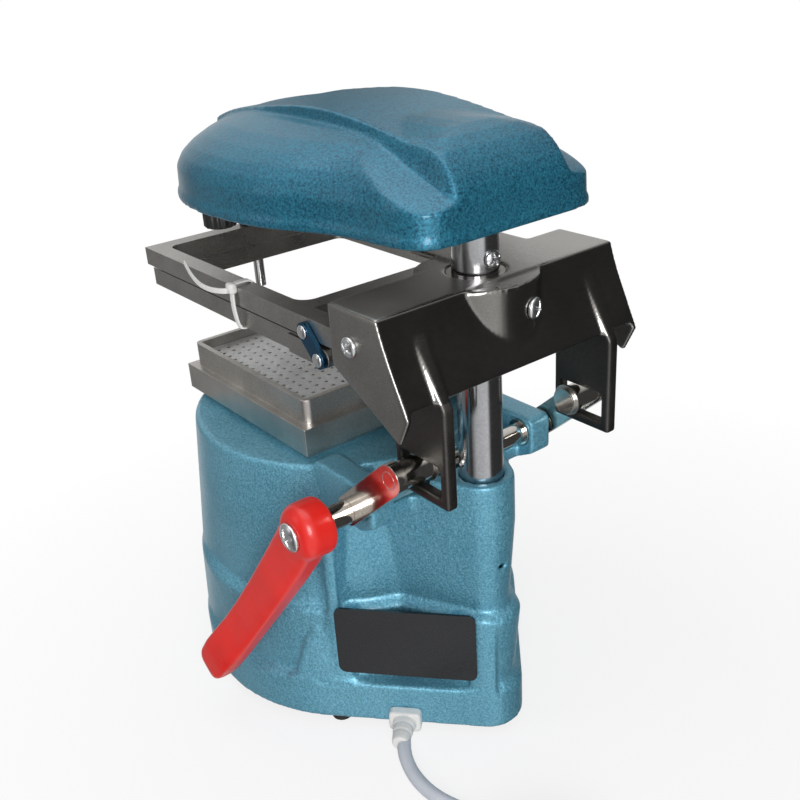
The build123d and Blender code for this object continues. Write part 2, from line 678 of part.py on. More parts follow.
with BuildPart() as motor_housing:
    add(disc(motor_axis, MOTOR_FLANGE_R, flange_low, flange_top))
    add(disc(motor_axis, FAN_CASE_R, fan_low, flange_low))
    add(disc(motor_axis, MOTOR_CASE_R, motor_low, fan_low))
    add(disc(motor_axis, FAN_CASE_R - MOTOR_WALL, fan_low + MOTOR_WALL, flange_top), mode=Mode.SUBTRACT)
    add(
        disc(motor_axis, MOTOR_CASE_R - MOTOR_WALL, motor_low + MOTOR_WALL, fan_low - BEARING_THICK),
        mode=Mode.SUBTRACT,
    )
    for low in bearing_seats:
        add(disc(motor_axis, BEARING_R + MOTOR_WALL, low, low + BEARING_THICK))
        add(disc(motor_axis, BEARING_R + FIT, low, low + BEARING_THICK), mode=Mode.SUBTRACT)
    add(disc(motor_axis, MOTOR_SHAFT_R + SHAFT_HOLE_PLAY, fan_low, fan_low + MOTOR_WALL), mode=Mode.SUBTRACT)
    for spot in motor_points:
        hole = Plane((spot.X, spot.Y + PLATE_Y, 0))
        add(disc(hole, MOTOR_SCREW_R + FIT, flange_low, flange_top), mode=Mode.SUBTRACT)
save(motor_housing, "motor_housing")

with BuildPart() as motor_screws:
    for spot in motor_points:
        seat = Plane((spot.X, spot.Y + PLATE_Y, flange_low), x_dir=(1, 0, 0), z_dir=(0, 0, -1))
        reach = MOTOR_FLANGE_THICK + GASKET_THICK + DECK_THICK / 2
        add(pan_screw(seat, MOTOR_SCREW_HEAD_R, MOTOR_SCREW_HEAD, MOTOR_SCREW_R, reach))
save(motor_screws, "motor_screws")

with BuildPart() as motor_stator:
    add(
        disc(
            motor_axis,
            MOTOR_CASE_R - MOTOR_WALL - FIT,
            rotor_low,
            rotor_low + ROTOR_LENGTH,
            bore=STATOR_IN,
        )
    )
save(motor_stator, "motor_stator")

with BuildPart() as motor_bearings:
    for low in bearing_seats:
        add(disc(motor_axis, BEARING_R, low, low + BEARING_THICK, bore=MOTOR_SHAFT_R + FIT))
save(motor_bearings, "motor_bearings")

fan_seat = fan_low + FAN_LIFT
with BuildPart() as motor_shaft:
    add(disc(motor_axis, MOTOR_SHAFT_R, bearing_seats[0], fan_seat + FAN_HEIGHT + FAN_DISC))
save(motor_shaft, "motor_shaft")

with BuildPart() as motor_rotor:
    add(
        disc(
            motor_axis,
            ROTOR_R,
            rotor_low,
            rotor_low + ROTOR_LENGTH,
            bore=MOTOR_SHAFT_R + FIT,
        )
    )
save(motor_rotor, "motor_rotor")

with BuildPart() as fan:
    add(disc(motor_axis, FAN_R, fan_seat, fan_seat + FAN_DISC))
    for blade in range(FAN_BLADES):
        turn = 360 / FAN_BLADES * blade
        blade_plane = Plane(motor_axis.location * Rot(0, 0, turn) * Pos((FAN_R + FAN_HUB_R) / 2, 0, 0))
        add(slab(blade_plane, FAN_R - FAN_HUB_R + FAN_ROOT, FAN_BLADE, fan_seat + FAN_DISC, fan_seat + FAN_HEIGHT))
    add(disc(motor_axis, FAN_HUB_R, fan_seat, fan_seat + FAN_HEIGHT))
    add(disc(motor_axis, MOTOR_SHAFT_R + FIT, fan_seat, fan_seat + FAN_HEIGHT), mode=Mode.SUBTRACT)
save(fan, "fan")

# ---------------------------------------------------------------- switches and terminals
with BuildPart() as switch_bodies:
    for seat in switch_planes:
        add(slab(seat, BEZEL_W, BEZEL_H, 0, BEZEL_THICK, corner=BEZEL_CORNER))
        add(slab(seat, SWITCH_W, SWITCH_H, -SWITCH_DEPTH, 0))
        add(
            slab(seat, SWITCH_POCKET_W, SWITCH_POCKET_H, BEZEL_THICK - SWITCH_POCKET, BEZEL_THICK),
            mode=Mode.SUBTRACT,
        )
save(switch_bodies, "switch_bodies")

for name, seat in zip(("heat_rocker", "vacuum_rocker"), switch_planes):
    lean = radians(ROCKER_TILT)
    rocker_plane = Plane(
        (seat.origin.X, ROCKER_AXIS_Y, SWITCH_Z), x_dir=(0, cos(lean), sin(lean)), z_dir=(1, 0, 0)
    )
    with BuildPart() as rocker:
        with BuildSketch(rocker_plane.offset(-ROCKER_W / 2)):
            with BuildLine():
                Polyline(
                    (-ROCKER_TIP, ROCKER_HALF),
                    (-ROCKER_MID, 0),
                    (-ROCKER_TIP, -ROCKER_HALF),
                    (0, -ROCKER_HALF + ROCKER_BACK),
                    (ROCKER_BACK, 0),
                    (0, ROCKER_HALF - ROCKER_BACK),
                    close=True,
                )
            make_face()
        extrude(amount=ROCKER_W)
        axle = side_plane(seat.origin.X, ROCKER_AXIS_Y, SWITCH_Z, 1)
        add(disc(axle, ROCKER_AXLE_R, -SWITCH_POCKET_W / 2 + FIT, SWITCH_POCKET_W / 2 - FIT))
    save(rocker, name)

with BuildPart() as terminal_block:
    block = Plane((0, TERMINAL_Y, 0))
    add(slab(block, TERMINAL_LENGTH, TERMINAL_WIDTH, casting_floor, casting_floor + TERMINAL_HEIGHT))
    with BuildSketch(Plane((0, TERMINAL_Y, casting_floor + TERMINAL_HEIGHT))):
        with GridLocations(TERMINAL_LENGTH / TERMINAL_WAYS, TERMINAL_WIDTH / 2, TERMINAL_WAYS, 2):
            Circle(TERMINAL_HOLE_R)
    extrude(amount=-TERMINAL_HEIGHT / 2, mode=Mode.SUBTRACT)
save(terminal_block, "terminal_block")

# ---------------------------------------------------------------- post
with BuildPart() as post:
    add(disc(Plane.XY, POST_R, POST_FOOT, POST_TOP, bore=POST_BORE_R))
    for height in (POST_PIN_Z, STOP_Z):
        hole = Plane((0, 0, height), x_dir=(1, 0, 0), z_dir=(0, 1, 0))
        add(disc(hole, STOP_R + FIT, 0, POST_R), mode=Mode.SUBTRACT)
save(post, "post")

with BuildPart() as post_screws:
    add(pan_screw(post_pin_seat, STOP_HEAD_R, STOP_HEAD, STOP_R, COLUMN_R - POST_R + STOP_LENGTH / 2))
    stop_seat = Plane((0, POST_R, STOP_Z), x_dir=(1, 0, 0), z_dir=(0, 1, 0))
    add(pan_screw(stop_seat, STOP_HEAD_R, STOP_HEAD, STOP_R, STOP_LENGTH / 2))
save(post_screws, "post_screws")

# ================================================================ carrier
set_screw_turn = radians(SET_SCREW_ANGLE)
set_screw_seat = Plane(
    (SLEEVE_R * cos(set_screw_turn), SLEEVE_R * sin(set_screw_turn), SET_SCREW_Z),
    x_dir=(0, 0, 1),
    z_dir=(cos(set_screw_turn), sin(set_screw_turn), 0),
)
crank_turn = radians(CRANK_ANGLE)
pin_y = SHAFT_Y + CRANK_LENGTH * cos(crank_turn)
pin_z = SHAFT_Z + CRANK_LENGTH * sin(crank_turn)
pin_fall = CRANK_LENGTH * (sin(crank_turn) - sin(crank_turn - radians(CRANK_SWING)))
assert abs(pin_fall - STROKE) < SLOT_RISE
slot_front = pin_y - PIN_R - 2 * GAP
slot_back = SHAFT_Y + CRANK_LENGTH + PIN_R + 2 * GAP


def hood_section(inset, top, drop):
    """Side view of the hood: straight front, curved slanted back drawn in by the inset, lower edge dropped."""
    with BuildSketch() as section:
        with BuildLine():
            back = Spline(*[(y - inset, min(z, top)) for y, z in HOOD_BACK])
            heel = (HOOD_HEEL[0] - inset, HOOD_HEEL[1] - drop)
            Polyline(back @ 1, heel, (HOOD_FRONT, HOOD_TOE_Z - drop), (HOOD_FRONT, top), back @ 0)
        make_face()
    return section.sketch


with BuildPart() as carrier_casting:
    with BuildSketch(Plane.YZ.offset(-HOOD_HALF)):
        add(hood_section(0, HOOD_TOP, 0))
    extrude(amount=2 * HOOD_HALF)
    with BuildSketch(Plane.YZ.offset(-HOOD_HALF + HOOD_WALL)):
        add(hood_section(HOOD_BACK_WALL, HOOD_TOP - HOOD_WALL, HOOD_WALL))
    extrude(amount=2 * (HOOD_HALF - HOOD_WALL), mode=Mode.SUBTRACT)
    with BuildSketch(Plane.XY.offset(HOOD_HEEL[1])):
        with Locations((0, HOOD_BACK[-1][0])):
            Rectangle(2 * (HOOD_HALF - HOOD_WALL), 2 * (HOOD_BACK[-1][0] - SHAFT_Y))
    extrude(amount=HOOD_BACK_LOW - HOOD_HEEL[1], mode=Mode.SUBTRACT)
    add(disc(Plane.XY, SLEEVE_R, SLEEVE_LOW, HOOD_TOP - SLEEVE_DROP))
    # tongue in front of the top plate, on the far half
    with BuildSketch(Plane.XY.offset(HOOD_TOP - HOOD_WALL)):
        with Locations(((TONGUE_NEAR + TONGUE_FAR) / 2, (TONGUE_FRONT + HOOD_FRONT) / 2)):
            Rectangle(TONGUE_NEAR - TONGUE_FAR, HOOD_FRONT - TONGUE_FRONT)
    extrude(amount=HOOD_WALL)
    for side in (1, -1):
        with BuildSketch(Plane.YZ.offset(side * CHEEK_IN)):
            with BuildLine():
                Polyline(
                    (CHEEK_FRONT, CHEEK_LOW),
                    (CHEEK_BACK, CHEEK_LOW),
                    (CHEEK_BACK, CHEEK_SHOULDER_Z),
                    (HOOD_BACK[0][0] - HOOD_WALL / 2, HOOD_TOP - HOOD_WALL / 2),
                    (CHEEK_FRONT, HOOD_TOP - HOOD_WALL / 2),
                    close=True,
                )
            make_face()
            with BuildLine():
                Polyline(
                    (slot_front, pin_z - PIN_R - GAP),
                    (slot_back, pin_z - PIN_R - GAP),
                    (slot_back, pin_z + PIN_R + SLOT_RISE + GAP),
                    (slot_front, pin_z + PIN_R + SLOT_RISE + GAP),
                    close=True,
                )
            make_face(mode=Mode.SUBTRACT)
        extrude(amount=side * (CHEEK_OUT - CHEEK_IN))
        pivot = side_plane(0, PIVOT_Y, PIVOT_Z, side)
        add(disc(pivot, PIVOT_R + FIT, HOOD_HALF - 2 * HOOD_WALL, HOOD_HALF), mode=Mode.SUBTRACT)
    add(disc(Plane.XY, BUSH_R + FIT, SLEEVE_LOW, HOOD_TOP), mode=Mode.SUBTRACT)
    add(disc(set_screw_seat, SET_SCREW_R + FIT, -SLEEVE_R + POST_R, 0), mode=Mode.SUBTRACT)
    add(disc(set_screw_seat, SET_SCREW_HEAD_R + GAP, -FIT, SET_SCREW_HEAD), mode=Mode.SUBTRACT)
save(carrier_casting, "carrier_casting")

with BuildPart() as post_bush:
    add(disc(Plane.XY, BUSH_R, SLEEVE_LOW, HOOD_TOP - SLEEVE_DROP, bore=POST_R + FIT))
    add(disc(set_screw_seat, SET_SCREW_R + FIT, -SET_SCREW_LENGTH - FIT, 0), mode=Mode.SUBTRACT)
save(post_bush, "post_bush")

with BuildPart() as carrier_set_screw:
    add(pan_screw(set_screw_seat, SET_SCREW_HEAD_R, SET_SCREW_HEAD, SET_SCREW_R, SET_SCREW_LENGTH))
save(carrier_set_screw, "carrier_set_screw")

with BuildPart() as pivot_screws:
    for side in (1, -1):
        seat = side_plane(side * HOOD_HALF, PIVOT_Y, PIVOT_Z, side)
        add(pan_screw(seat, PIVOT_HEAD_R, PIVOT_HEAD, PIVOT_R, PIVOT_LENGTH))
save(pivot_screws, "pivot_screws")


# ================================================================ frames
def window():
    """Opening that both frames leave free: tighter corners at the front than at the rear."""
    with BuildSketch() as opening:
        with BuildLine():
            Polyline(
                (-WINDOW_HALF, WINDOW_FRONT),
                (WINDOW_HALF, WINDOW_FRONT),
                (WINDOW_HALF, WINDOW_REAR),
                (-WINDOW_HALF, WINDOW_REAR),
                close=True,
            )
        make_face()
        corners = opening.vertices().group_by(Axis.Y)
        fillet(corners[0], radius=WINDOW_FRONT_CORNER)
        fillet(opening.vertices().group_by(Axis.Y)[-1], radius=WINDOW_REAR_CORNER)
    return opening.sketch


def plate_between(half, front, rear):
    """Rectangle across the middle plane."""
    with BuildSketch() as outline:
        with Locations((0, (front + rear) / 2)):
            Rectangle(2 * half, rear - front)
    return outline.sketch


frame_rear = WINDOW_REAR + FRAME_BAR
with BuildPart() as upper_frame:
    with BuildSketch(Plane.XY.offset(UPPER_LOW)):
        add(plate_between(FRAME_HALF, FRAME_FRONT, ARM_REAR))
        add(plate_between(WINDOW_HALF, frame_rear, ARM_REAR), mode=Mode.SUBTRACT)
        add(window(), mode=Mode.SUBTRACT)
    extrude(amount=UPPER_TOP - UPPER_LOW)
    low_face = upper_frame.faces().sort_by(Axis.Z)[0]
    outer = low_face.edges().sort_by(Axis.Y)[0]
    sides = low_face.edges().filter_by(Axis.Y).sort_by(Axis.X)
    chamfer([outer, sides[0], sides[-1]], length=FRAME_BEVEL, length2=FRAME_BEVEL_HEIGHT)
    add(disc(Plane((0, CLAMP_Y, 0)), CLAMP_SCREW_R + FIT, UPPER_LOW, UPPER_TOP), mode=Mode.SUBTRACT)
    for side in (1, -1):
        pivot = side_plane(0, PIVOT_Y, PIVOT_Z, side)
        add(disc(pivot, PIVOT_R + FIT, HOOD_HALF - PIVOT_LENGTH - GAP, FRAME_HALF), mode=Mode.SUBTRACT)
        link = side_plane(0, LINK_TOP_Y, LINK_TOP_Z, side)
        rivet_end = FRAME_HALF + GAP + LINK_THICK - RIVET_LENGTH - GAP
        add(disc(link, RIVET_R + FIT, rivet_end, FRAME_HALF), mode=Mode.SUBTRACT)
save(upper_frame, "upper_frame")

with BuildPart() as link_plates:
    for side in (1, -1):
        with BuildSketch(Plane.YZ.offset(side * (FRAME_HALF + GAP))):
            with Locations((LINK_TOP_Y, LINK_TOP_Z), (HINGE_Y, HINGE_Z)):
                Circle(LINK_R)
            make_hull()
            with Locations((LINK_TOP_Y, LINK_TOP_Z), (HINGE_Y, HINGE_Z)):
                Circle(RIVET_R + FIT, mode=Mode.SUBTRACT)
        extrude(amount=side * LINK_THICK)
save(link_plates, "link_plates")

with BuildPart() as link_rivets:
    for side in (1, -1):
        for y, z in ((LINK_TOP_Y, LINK_TOP_Z), (HINGE_Y, HINGE_Z)):
            seat = side_plane(side * (FRAME_HALF + GAP + LINK_THICK), y, z, side)
            add(pan_screw(seat, RIVET_HEAD_R, RIVET_HEAD, RIVET_R, RIVET_LENGTH))
save(link_rivets, "link_rivets")

lower_half = FRAME_HALF - LOWER_INSET
lower_top = UPPER_LOW - GAP
with BuildPart() as lower_frame:
    with BuildSketch(Plane.XY.offset(LOWER_LOW)):
        add(plate_between(lower_half, FRAME_FRONT + LOWER_INSET, frame_rear))
        add(window(), mode=Mode.SUBTRACT)
    extrude(amount=lower_top - LOWER_LOW)
    for side in (1, -1):
        with BuildSketch(Plane.YZ.offset(side * (FRAME_HALF - GAP / 2))):
            with BuildLine():
                Polyline(
                    (frame_rear - FRAME_BAR, HINGE_Z - HINGE_END_R),
                    (HINGE_Y, HINGE_Z - HINGE_END_R),
                    (HINGE_Y, HINGE_Z + HINGE_END_R),
                    (frame_rear - FRAME_BAR, HINGE_Z + HINGE_END_R),
                    close=True,
                )
            make_face()
            with Locations((HINGE_Y, HINGE_Z)):
                Circle(HINGE_END_R)
        extrude(amount=-side * EAR_THICK)
        hinge = side_plane(0, HINGE_Y, HINGE_Z, side)
        add(disc(hinge, RIVET_R + FIT, FRAME_HALF - EAR_THICK - GAP, FRAME_HALF), mode=Mode.SUBTRACT)
    clamp_axis = Plane((0, CLAMP_Y, 0))
    add(disc(clamp_axis, STOP_PIN_NECK_R + FIT, LOWER_LOW, LOWER_LOW + STOP_PIN_NECK + FIT), mode=Mode.SUBTRACT)
save(lower_frame, "lower_frame")

with BuildPart() as stop_pin:
    add(disc(clamp_axis, STOP_PIN_R, STOP_PIN_LOW, LOWER_LOW))
    add(disc(clamp_axis, STOP_PIN_NECK_R, LOWER_LOW, LOWER_LOW + STOP_PIN_NECK))
save(stop_pin, "stop_pin")

knob_low = UPPER_TOP + GAP
with BuildPart() as clamp_screw:
    add(disc(clamp_axis, CLAMP_SCREW_R, UPPER_LOW, knob_low + CLAMP_KNOB_GRIP - FIT))
save(clamp_screw, "clamp_screw")

with BuildPart() as clamp_knob:
    with BuildSketch(Plane((0, CLAMP_Y, knob_low))):
        Circle(CLAMP_KNOB_R)
        with PolarLocations(CLAMP_KNOB_R, CLAMP_KNOB_FLUTES):
            Circle(FLUTE_R, mode=Mode.SUBTRACT)
    extrude(amount=CLAMP_KNOB_HEIGHT)
    add(disc(clamp_axis, CLAMP_SCREW_R + FIT, knob_low, knob_low + CLAMP_KNOB_GRIP), mode=Mode.SUBTRACT)
save(clamp_knob, "clamp_knob")

# ================================================================ cross shaft, cranks and lever
with BuildPart() as cross_shaft:
    add(disc(shaft_side, SHAFT_R, -ARM_OUT - HUB_ROUND, SHAFT_END))
    add(disc(shaft_side, STUB_R, ARM_OUT + FIT, HUB_IN - FIT))
    add(
        disc(shaft_side, LEVER_SCREW_R + FIT, HUB_OUT - LEVER_SCREW_LENGTH - GAP, SHAFT_END),
        mode=Mode.SUBTRACT,
    )
save(cross_shaft, "cross_shaft")

crank_arms = {}
for name, side in (("near_crank_arm", 1), ("far_crank_arm", -1)):
    with BuildPart() as crank_arms[name]:
        with BuildSketch(Plane.YZ.offset(side * ARM_IN)):
            with Locations((SHAFT_Y, SHAFT_Z), (pin_y, pin_z)):
                Circle(CRANK_HALF)
            make_hull()
            with Locations((SHAFT_Y, SHAFT_Z)):
                Circle(SHAFT_R + FIT, mode=Mode.SUBTRACT)
            with Locations((pin_y, pin_z)):
                Circle(PIN_NECK_R + FIT, mode=Mode.SUBTRACT)
        extrude(amount=side * (ARM_OUT - ARM_IN))
    save(crank_arms[name], name)

with BuildPart() as crank_pins:
    for side in (1, -1):
        pin = side_plane(0, pin_y, pin_z, side)
        add(disc(pin, PIN_R, PIN_IN, ARM_IN))
        add(disc(pin, PIN_NECK_R, ARM_IN, ARM_OUT))
        add(disc(pin, PIN_R, CLIP_PLACE, CLIP_PLACE + CLIP_THICK + FIT, bore=CLIP_GROOVE_R), mode=Mode.SUBTRACT)
save(crank_pins, "crank_pins")

with BuildPart() as pin_clips:
    for side in (1, -1):
        pin = side_plane(0, pin_y, pin_z, side)
        add(disc(pin, CLIP_R, CLIP_PLACE + FIT / 2, CLIP_PLACE + CLIP_THICK, bore=CLIP_GROOVE_R + FIT))
save(pin_clips, "pin_clips")

lever_turn = radians(LEVER_ANGLE)
lever_tip_y = SHAFT_Y - LEVER_LENGTH * cos(lever_turn)
lever_tip_z = SHAFT_Z - LEVER_LENGTH * sin(lever_turn)


def along_lever(share, x):
    """Point on the lever's middle line: share of its length from the shaft, at this X."""
    return Vector(
        x,
        SHAFT_Y + share * (lever_tip_y - SHAFT_Y),
        SHAFT_Z + share * (lever_tip_z - SHAFT_Z),
    )


def lever_bar(start, end, size, narrowing):
    """Bar of rounded rectangular section, thickness along X, that narrows by this much on each side."""
    run = end - start
    with BuildPart() as bar:
        with BuildSketch(Plane(start, x_dir=(run.Z, 0, -run.X), z_dir=run)):
            RectangleRounded(size[0], size[1], LEVER_CORNER)
        extrude(amount=run.length, taper=degrees(atan2(narrowing, run.length)))
    return bar.part


lever_root = along_lever(0, LEVER_ROOT_X)
lever_bend = along_lever(LEVER_BEND, LEVER_BEND_X)
lever_tip = along_lever(1, LEVER_TIP_X)
with BuildPart() as lever:
    add(disc(shaft_side, HUB_R, HUB_IN, HUB_OUT))
    fillet(lever.faces().sort_by(Axis.X)[-1].edges(), radius=HUB_ROUND)
    add(lever_bar(lever_root, lever_bend, LEVER_ROOT, (LEVER_ROOT[0] - LEVER_NECK[0]) / 2))
    add(lever_bar(lever_bend, lever_tip, LEVER_NECK, 0))
    with Locations(lever_bend):
        Sphere(LEVER_NECK[0] / 2)
    add(disc(shaft_side, SHAFT_R + FIT, HUB_IN, SHAFT_END + FIT), mode=Mode.SUBTRACT)
    add(disc(shaft_side, LEVER_SCREW_R + FIT, SHAFT_END, HUB_OUT), mode=Mode.SUBTRACT)
save(lever, "lever")

with BuildPart() as lever_screw:
    seat = side_plane(HUB_OUT, SHAFT_Y, SHAFT_Z, 1)
    add(pan_screw(seat, LEVER_SCREW_HEAD_R, LEVER_SCREW_HEAD, LEVER_SCREW_R, LEVER_SCREW_LENGTH))
save(lever_screw, "lever_screw")


# ================================================================ heater head
def head_section(inset, wall):
    """Plan of the head, drawn in towards its middle line by a share and by the wall."""
    half = [(HEAD_R * cos(radians(t)), HEAD_CENTRE_Y + HEAD_R * sin(radians(t))) for t in (-60, -30, 0)]
    half += HEAD_SIDE
    ring = [(0, HEAD_CENTRE_Y - HEAD_R)] + half + [(0, HEAD_REAR)]
    ring += [(-x, y) for x, y in reversed(half)]
    points = []
    for x, y in ring:
        spine = min(max(y, HEAD_CENTRE_Y), HEAD_SPINE_REAR)
        reach = hypot(x, y - spine)
        share = (1 - inset) * reach - wall
        points.append((x * share / reach, spine + (y - spine) * share / reach))
    with BuildSketch() as plan:
        with BuildLine():
            Spline(*points, periodic=True)
        make_face()
    return plan.sketch


def dome(wall):
    """Rounded body of the head, drawn in by the wall."""
    with BuildPart() as body:
        for rise, inset in HEAD_RISE:
            with BuildSketch(Plane.XY.offset(HEAD_LOW + rise - (wall if rise > 0 else 0))):
                add(head_section(inset, wall))
        loft(ruled=True)
    return body.part


with BuildPart() as screw_bosses:
    for x, y in HEAD_SCREWS:
        add(disc(Plane((x, y, 0)), HEAD_BOSS_R, HEAD_LOW + BASE_PLATE_THICK, HEAD_LOW + HEAD_RISE[-1][0]))
    add(dome(HEAD_WALL / 2), mode=Mode.INTERSECT)

with BuildPart() as head_cover:
    add(dome(0))
    with BuildSketch(Plane.XY.offset(HEAD_LOW)):
        add(head_section(0, -HEAD_BEAD))
    extrude(amount=HEAD_BEAD_HEIGHT)
    with BuildSketch(Plane.YZ.offset(-BAND_HALF)):
        with BuildLine():
            crown = Spline(*(BAND_CROWN + BAND_FRONT_CROWN))
            Polyline(
                crown @ 1,
                crown @ 1 - Vector(0, BAND_FRONT_DROP),
                (BAND_CROWN[0][0], HEAD_LOW + BAND_FOOT),
                crown @ 0,
            )
        make_face()
    extrude(amount=2 * BAND_HALF)
    add(dome(HEAD_WALL), mode=Mode.SUBTRACT)
    add(screw_bosses.part)
    for x, y in HEAD_SCREWS:
        screw_end = HEAD_LOW + HEAD_SCREW_LENGTH + GAP
        add(disc(Plane((x, y, 0)), HEAD_SCREW_R + FIT, HEAD_LOW, screw_end), mode=Mode.SUBTRACT)
save(head_cover, "head_cover")

base_plate_top = HEAD_LOW + BASE_PLATE_THICK
heater_axis = Plane((0, HEATER_Y, 0))
with BuildPart() as head_base_plate:
    with BuildSketch(Plane.XY.offset(HEAD_LOW)):
        add(head_section(0, HEAD_WALL + GAP))
    extrude(amount=BASE_PLATE_THICK)
    add(disc(heater_axis, HEATER_HOLE_R, HEAD_LOW, base_plate_top), mode=Mode.SUBTRACT)
    add(disc(Plane.XY, HUB_SLEEVE_R, HUB_SLEEVE_LOW, POST_TOP + HUB_CAP))
    add(disc(Plane.XY, POST_R + FIT, HUB_SLEEVE_LOW, POST_TOP), mode=Mode.SUBTRACT)
    add(disc(Plane.XY, DUCT_R, POST_TOP, POST_TOP + HUB_CAP), mode=Mode.SUBTRACT)
    for x, y in HEAD_SCREWS:
        add(disc(Plane((x, y, 0)), HEAD_SCREW_R + FIT, HEAD_LOW, base_plate_top), mode=Mode.SUBTRACT)
    add(disc(Plane((KNOB_X, KNOB_Y, 0)), KNOB_SCREW_R + FIT, HEAD_LOW, base_plate_top), mode=Mode.SUBTRACT)
save(head_base_plate, "head_base_plate")

with BuildPart() as head_screws:
    for x, y in HEAD_SCREWS:
        seat = Plane((x, y, HEAD_LOW), x_dir=(1, 0, 0), z_dir=(0, 0, -1))
        add(pan_screw(seat, HEAD_SCREW_HEAD_R, HEAD_SCREW_HEAD, HEAD_SCREW_R, HEAD_SCREW_LENGTH))
save(head_screws, "head_screws")

pan_r = HEATER_HOLE_R - GAP
with BuildPart() as heater_pan:
    add(disc(heater_axis, pan_r, HEAD_LOW, base_plate_top + PAN_HEIGHT))
    add(disc(heater_axis, pan_r + PAN_FLANGE, base_plate_top, base_plate_top + PAN_WALL))
    add(disc(heater_axis, pan_r - PAN_WALL, HEAD_LOW, base_plate_top + PAN_HEIGHT - PAN_WALL), mode=Mode.SUBTRACT)
    add(disc(heater_axis, STUD_R + FIT, HEAD_LOW, base_plate_top + PAN_HEIGHT), mode=Mode.SUBTRACT)
save(heater_pan, "heater_pan")

with BuildPart() as heater_tile:
    add(disc(heater_axis, TILE_R, TILE_Z, TILE_Z + TILE_THICK, bore=STUD_R + FIT))
save(heater_tile, "heater_tile")

with BuildPart() as heater_coil:
    for radius in COIL_RADII:
        with Locations((0, HEATER_Y, TILE_Z - COIL_WIRE_R - FIT)):
            Torus(radius, COIL_WIRE_R)
save(heater_coil, "heater_coil")

with BuildPart() as heater_stud:
    add(disc(heater_axis, STUD_R, TILE_Z, base_plate_top + PAN_HEIGHT))
    add(disc(heater_axis, 2 * STUD_R, TILE_Z - COIL_WIRE_R, TILE_Z))
    add(disc(heater_axis, 2 * STUD_R, TILE_Z + TILE_THICK, base_plate_top + PAN_HEIGHT - PAN_WALL))
save(heater_stud, "heater_stud")

knob_axis = Plane((KNOB_X, KNOB_Y, 0))
knob_foot = HEAD_LOW - KNOB_HEIGHT
with BuildPart() as swing_knob:
    add(disc(knob_axis, KNOB_R, knob_foot, HEAD_LOW))
    fillet(swing_knob.faces().sort_by(Axis.Z)[0].edges(), radius=HUB_ROUND)
    add(disc(knob_axis, KNOB_SCREW_R + FIT, HEAD_LOW - KNOB_SCREW_LENGTH, HEAD_LOW), mode=Mode.SUBTRACT)
save(swing_knob, "swing_knob")

with BuildPart() as knob_screw:
    nut_top = base_plate_top + KNOB_NUT
    add(disc(knob_axis, KNOB_SCREW_R, HEAD_LOW - KNOB_SCREW_LENGTH, nut_top))
    with BuildSketch(knob_axis.offset(base_plate_top)):
        RegularPolygon(KNOB_NUT_R, 6)
    extrude(amount=KNOB_NUT)
save(knob_screw, "knob_screw")

# ================================================================ mains cord
with BuildPart() as cord_gland:
    add(disc(gland_plane, GLAND_FLANGE_R, 0, GLAND_FLANGE))
    add(disc(gland_plane, GLAND_NOSE_R, GLAND_FLANGE, GLAND_NOSE))
    add(disc(gland_plane, GLAND_BODY_R, -GLAND_BACK, 0))
    add(disc(gland_plane, CORD_R + FIT, -GLAND_BACK, GLAND_NOSE), mode=Mode.SUBTRACT)
save(cord_gland, "cord_gland")

with BuildPart() as gland_nut:
    with BuildSketch(gland_plane.offset(-PLINTH_WALL - GLAND_NUT - FIT)):
        RegularPolygon(GLAND_NUT_R, 6)
        Circle(GLAND_BODY_R + FIT, mode=Mode.SUBTRACT)
    extrude(amount=GLAND_NUT)
save(gland_nut, "gland_nut")


def arc_radii(route):
    """Radius of the arc at each inner corner: a share of the shorter run over tan of half the turn."""
    radii = []
    for before, here, after in zip(route, route[1:], route[2:]):
        run_in = Vector(*here) - Vector(*before)
        run_out = Vector(*after) - Vector(*here)
        turn = radians(run_in.get_angle(run_out))
        radii.append(CORD_ARC_SHARE * min(run_in.length, run_out.length) / tan(turn / 2))
    return radii


def cord(route):
    """Round cord along straight runs joined by arcs."""
    with BuildPart() as tube:
        with BuildLine() as path:
            FilletPolyline(*route, radius=arc_radii(route))
        with BuildSketch(Plane(origin=path.line @ 0, z_dir=path.line % 0)):
            Circle(CORD_R)
        sweep()
    return tube.part


with BuildPart() as power_cord:
    add(cord(CORD_ROUTE))
save(power_cord, "power_cord")

with BuildPart() as cord_tail:
    add(cord(TAIL_ROUTE))
save(cord_tail, "cord_tail")

with BuildPart() as cord_coil:
    add(
        disc(
            Plane((COIL_CENTRE[0], COIL_CENTRE[1], 0)),
            COIL_MID_R + COIL_HALF_WIDTH,
            COIL_LOW,
            COIL_HEIGHT,
            bore=COIL_MID_R - COIL_HALF_WIDTH,
        )
    )
    fillet(cord_coil.edges().filter_by(GeomType.CIRCLE), radius=CORD_R)
save(cord_coil, "cord_coil")

plug_run = Vector(*TAIL_ROUTE[-1]) - Vector(*TAIL_ROUTE[-2])
plug_way = Vector(plug_run.X, plug_run.Y, 0).normalized()
plug_plane = Plane(TAIL_ROUTE[-1], x_dir=(-plug_way.Y, plug_way.X, 0), z_dir=plug_run)
with BuildPart() as mains_plug:
    add(slab(plug_plane, PLUG_WIDTH, PLUG_HEIGHT, 0, PLUG_LENGTH, corner=PLUG_ROUND))
    for place in (-PLUG_PIN_PLACE, PLUG_PIN_PLACE):
        pin_plane = Plane(plug_plane.location * Pos(place, 0, 0))
        add(disc(pin_plane, PLUG_PIN_R, PLUG_LENGTH, PLUG_LENGTH + PLUG_PIN_LENGTH))
save(mains_plug, "mains_plug")
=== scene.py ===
"""Dental vacuum former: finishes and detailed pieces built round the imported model."""
import json
import math

import bmesh
import bpy
import numpy as np
from mathutils import Matrix, Vector


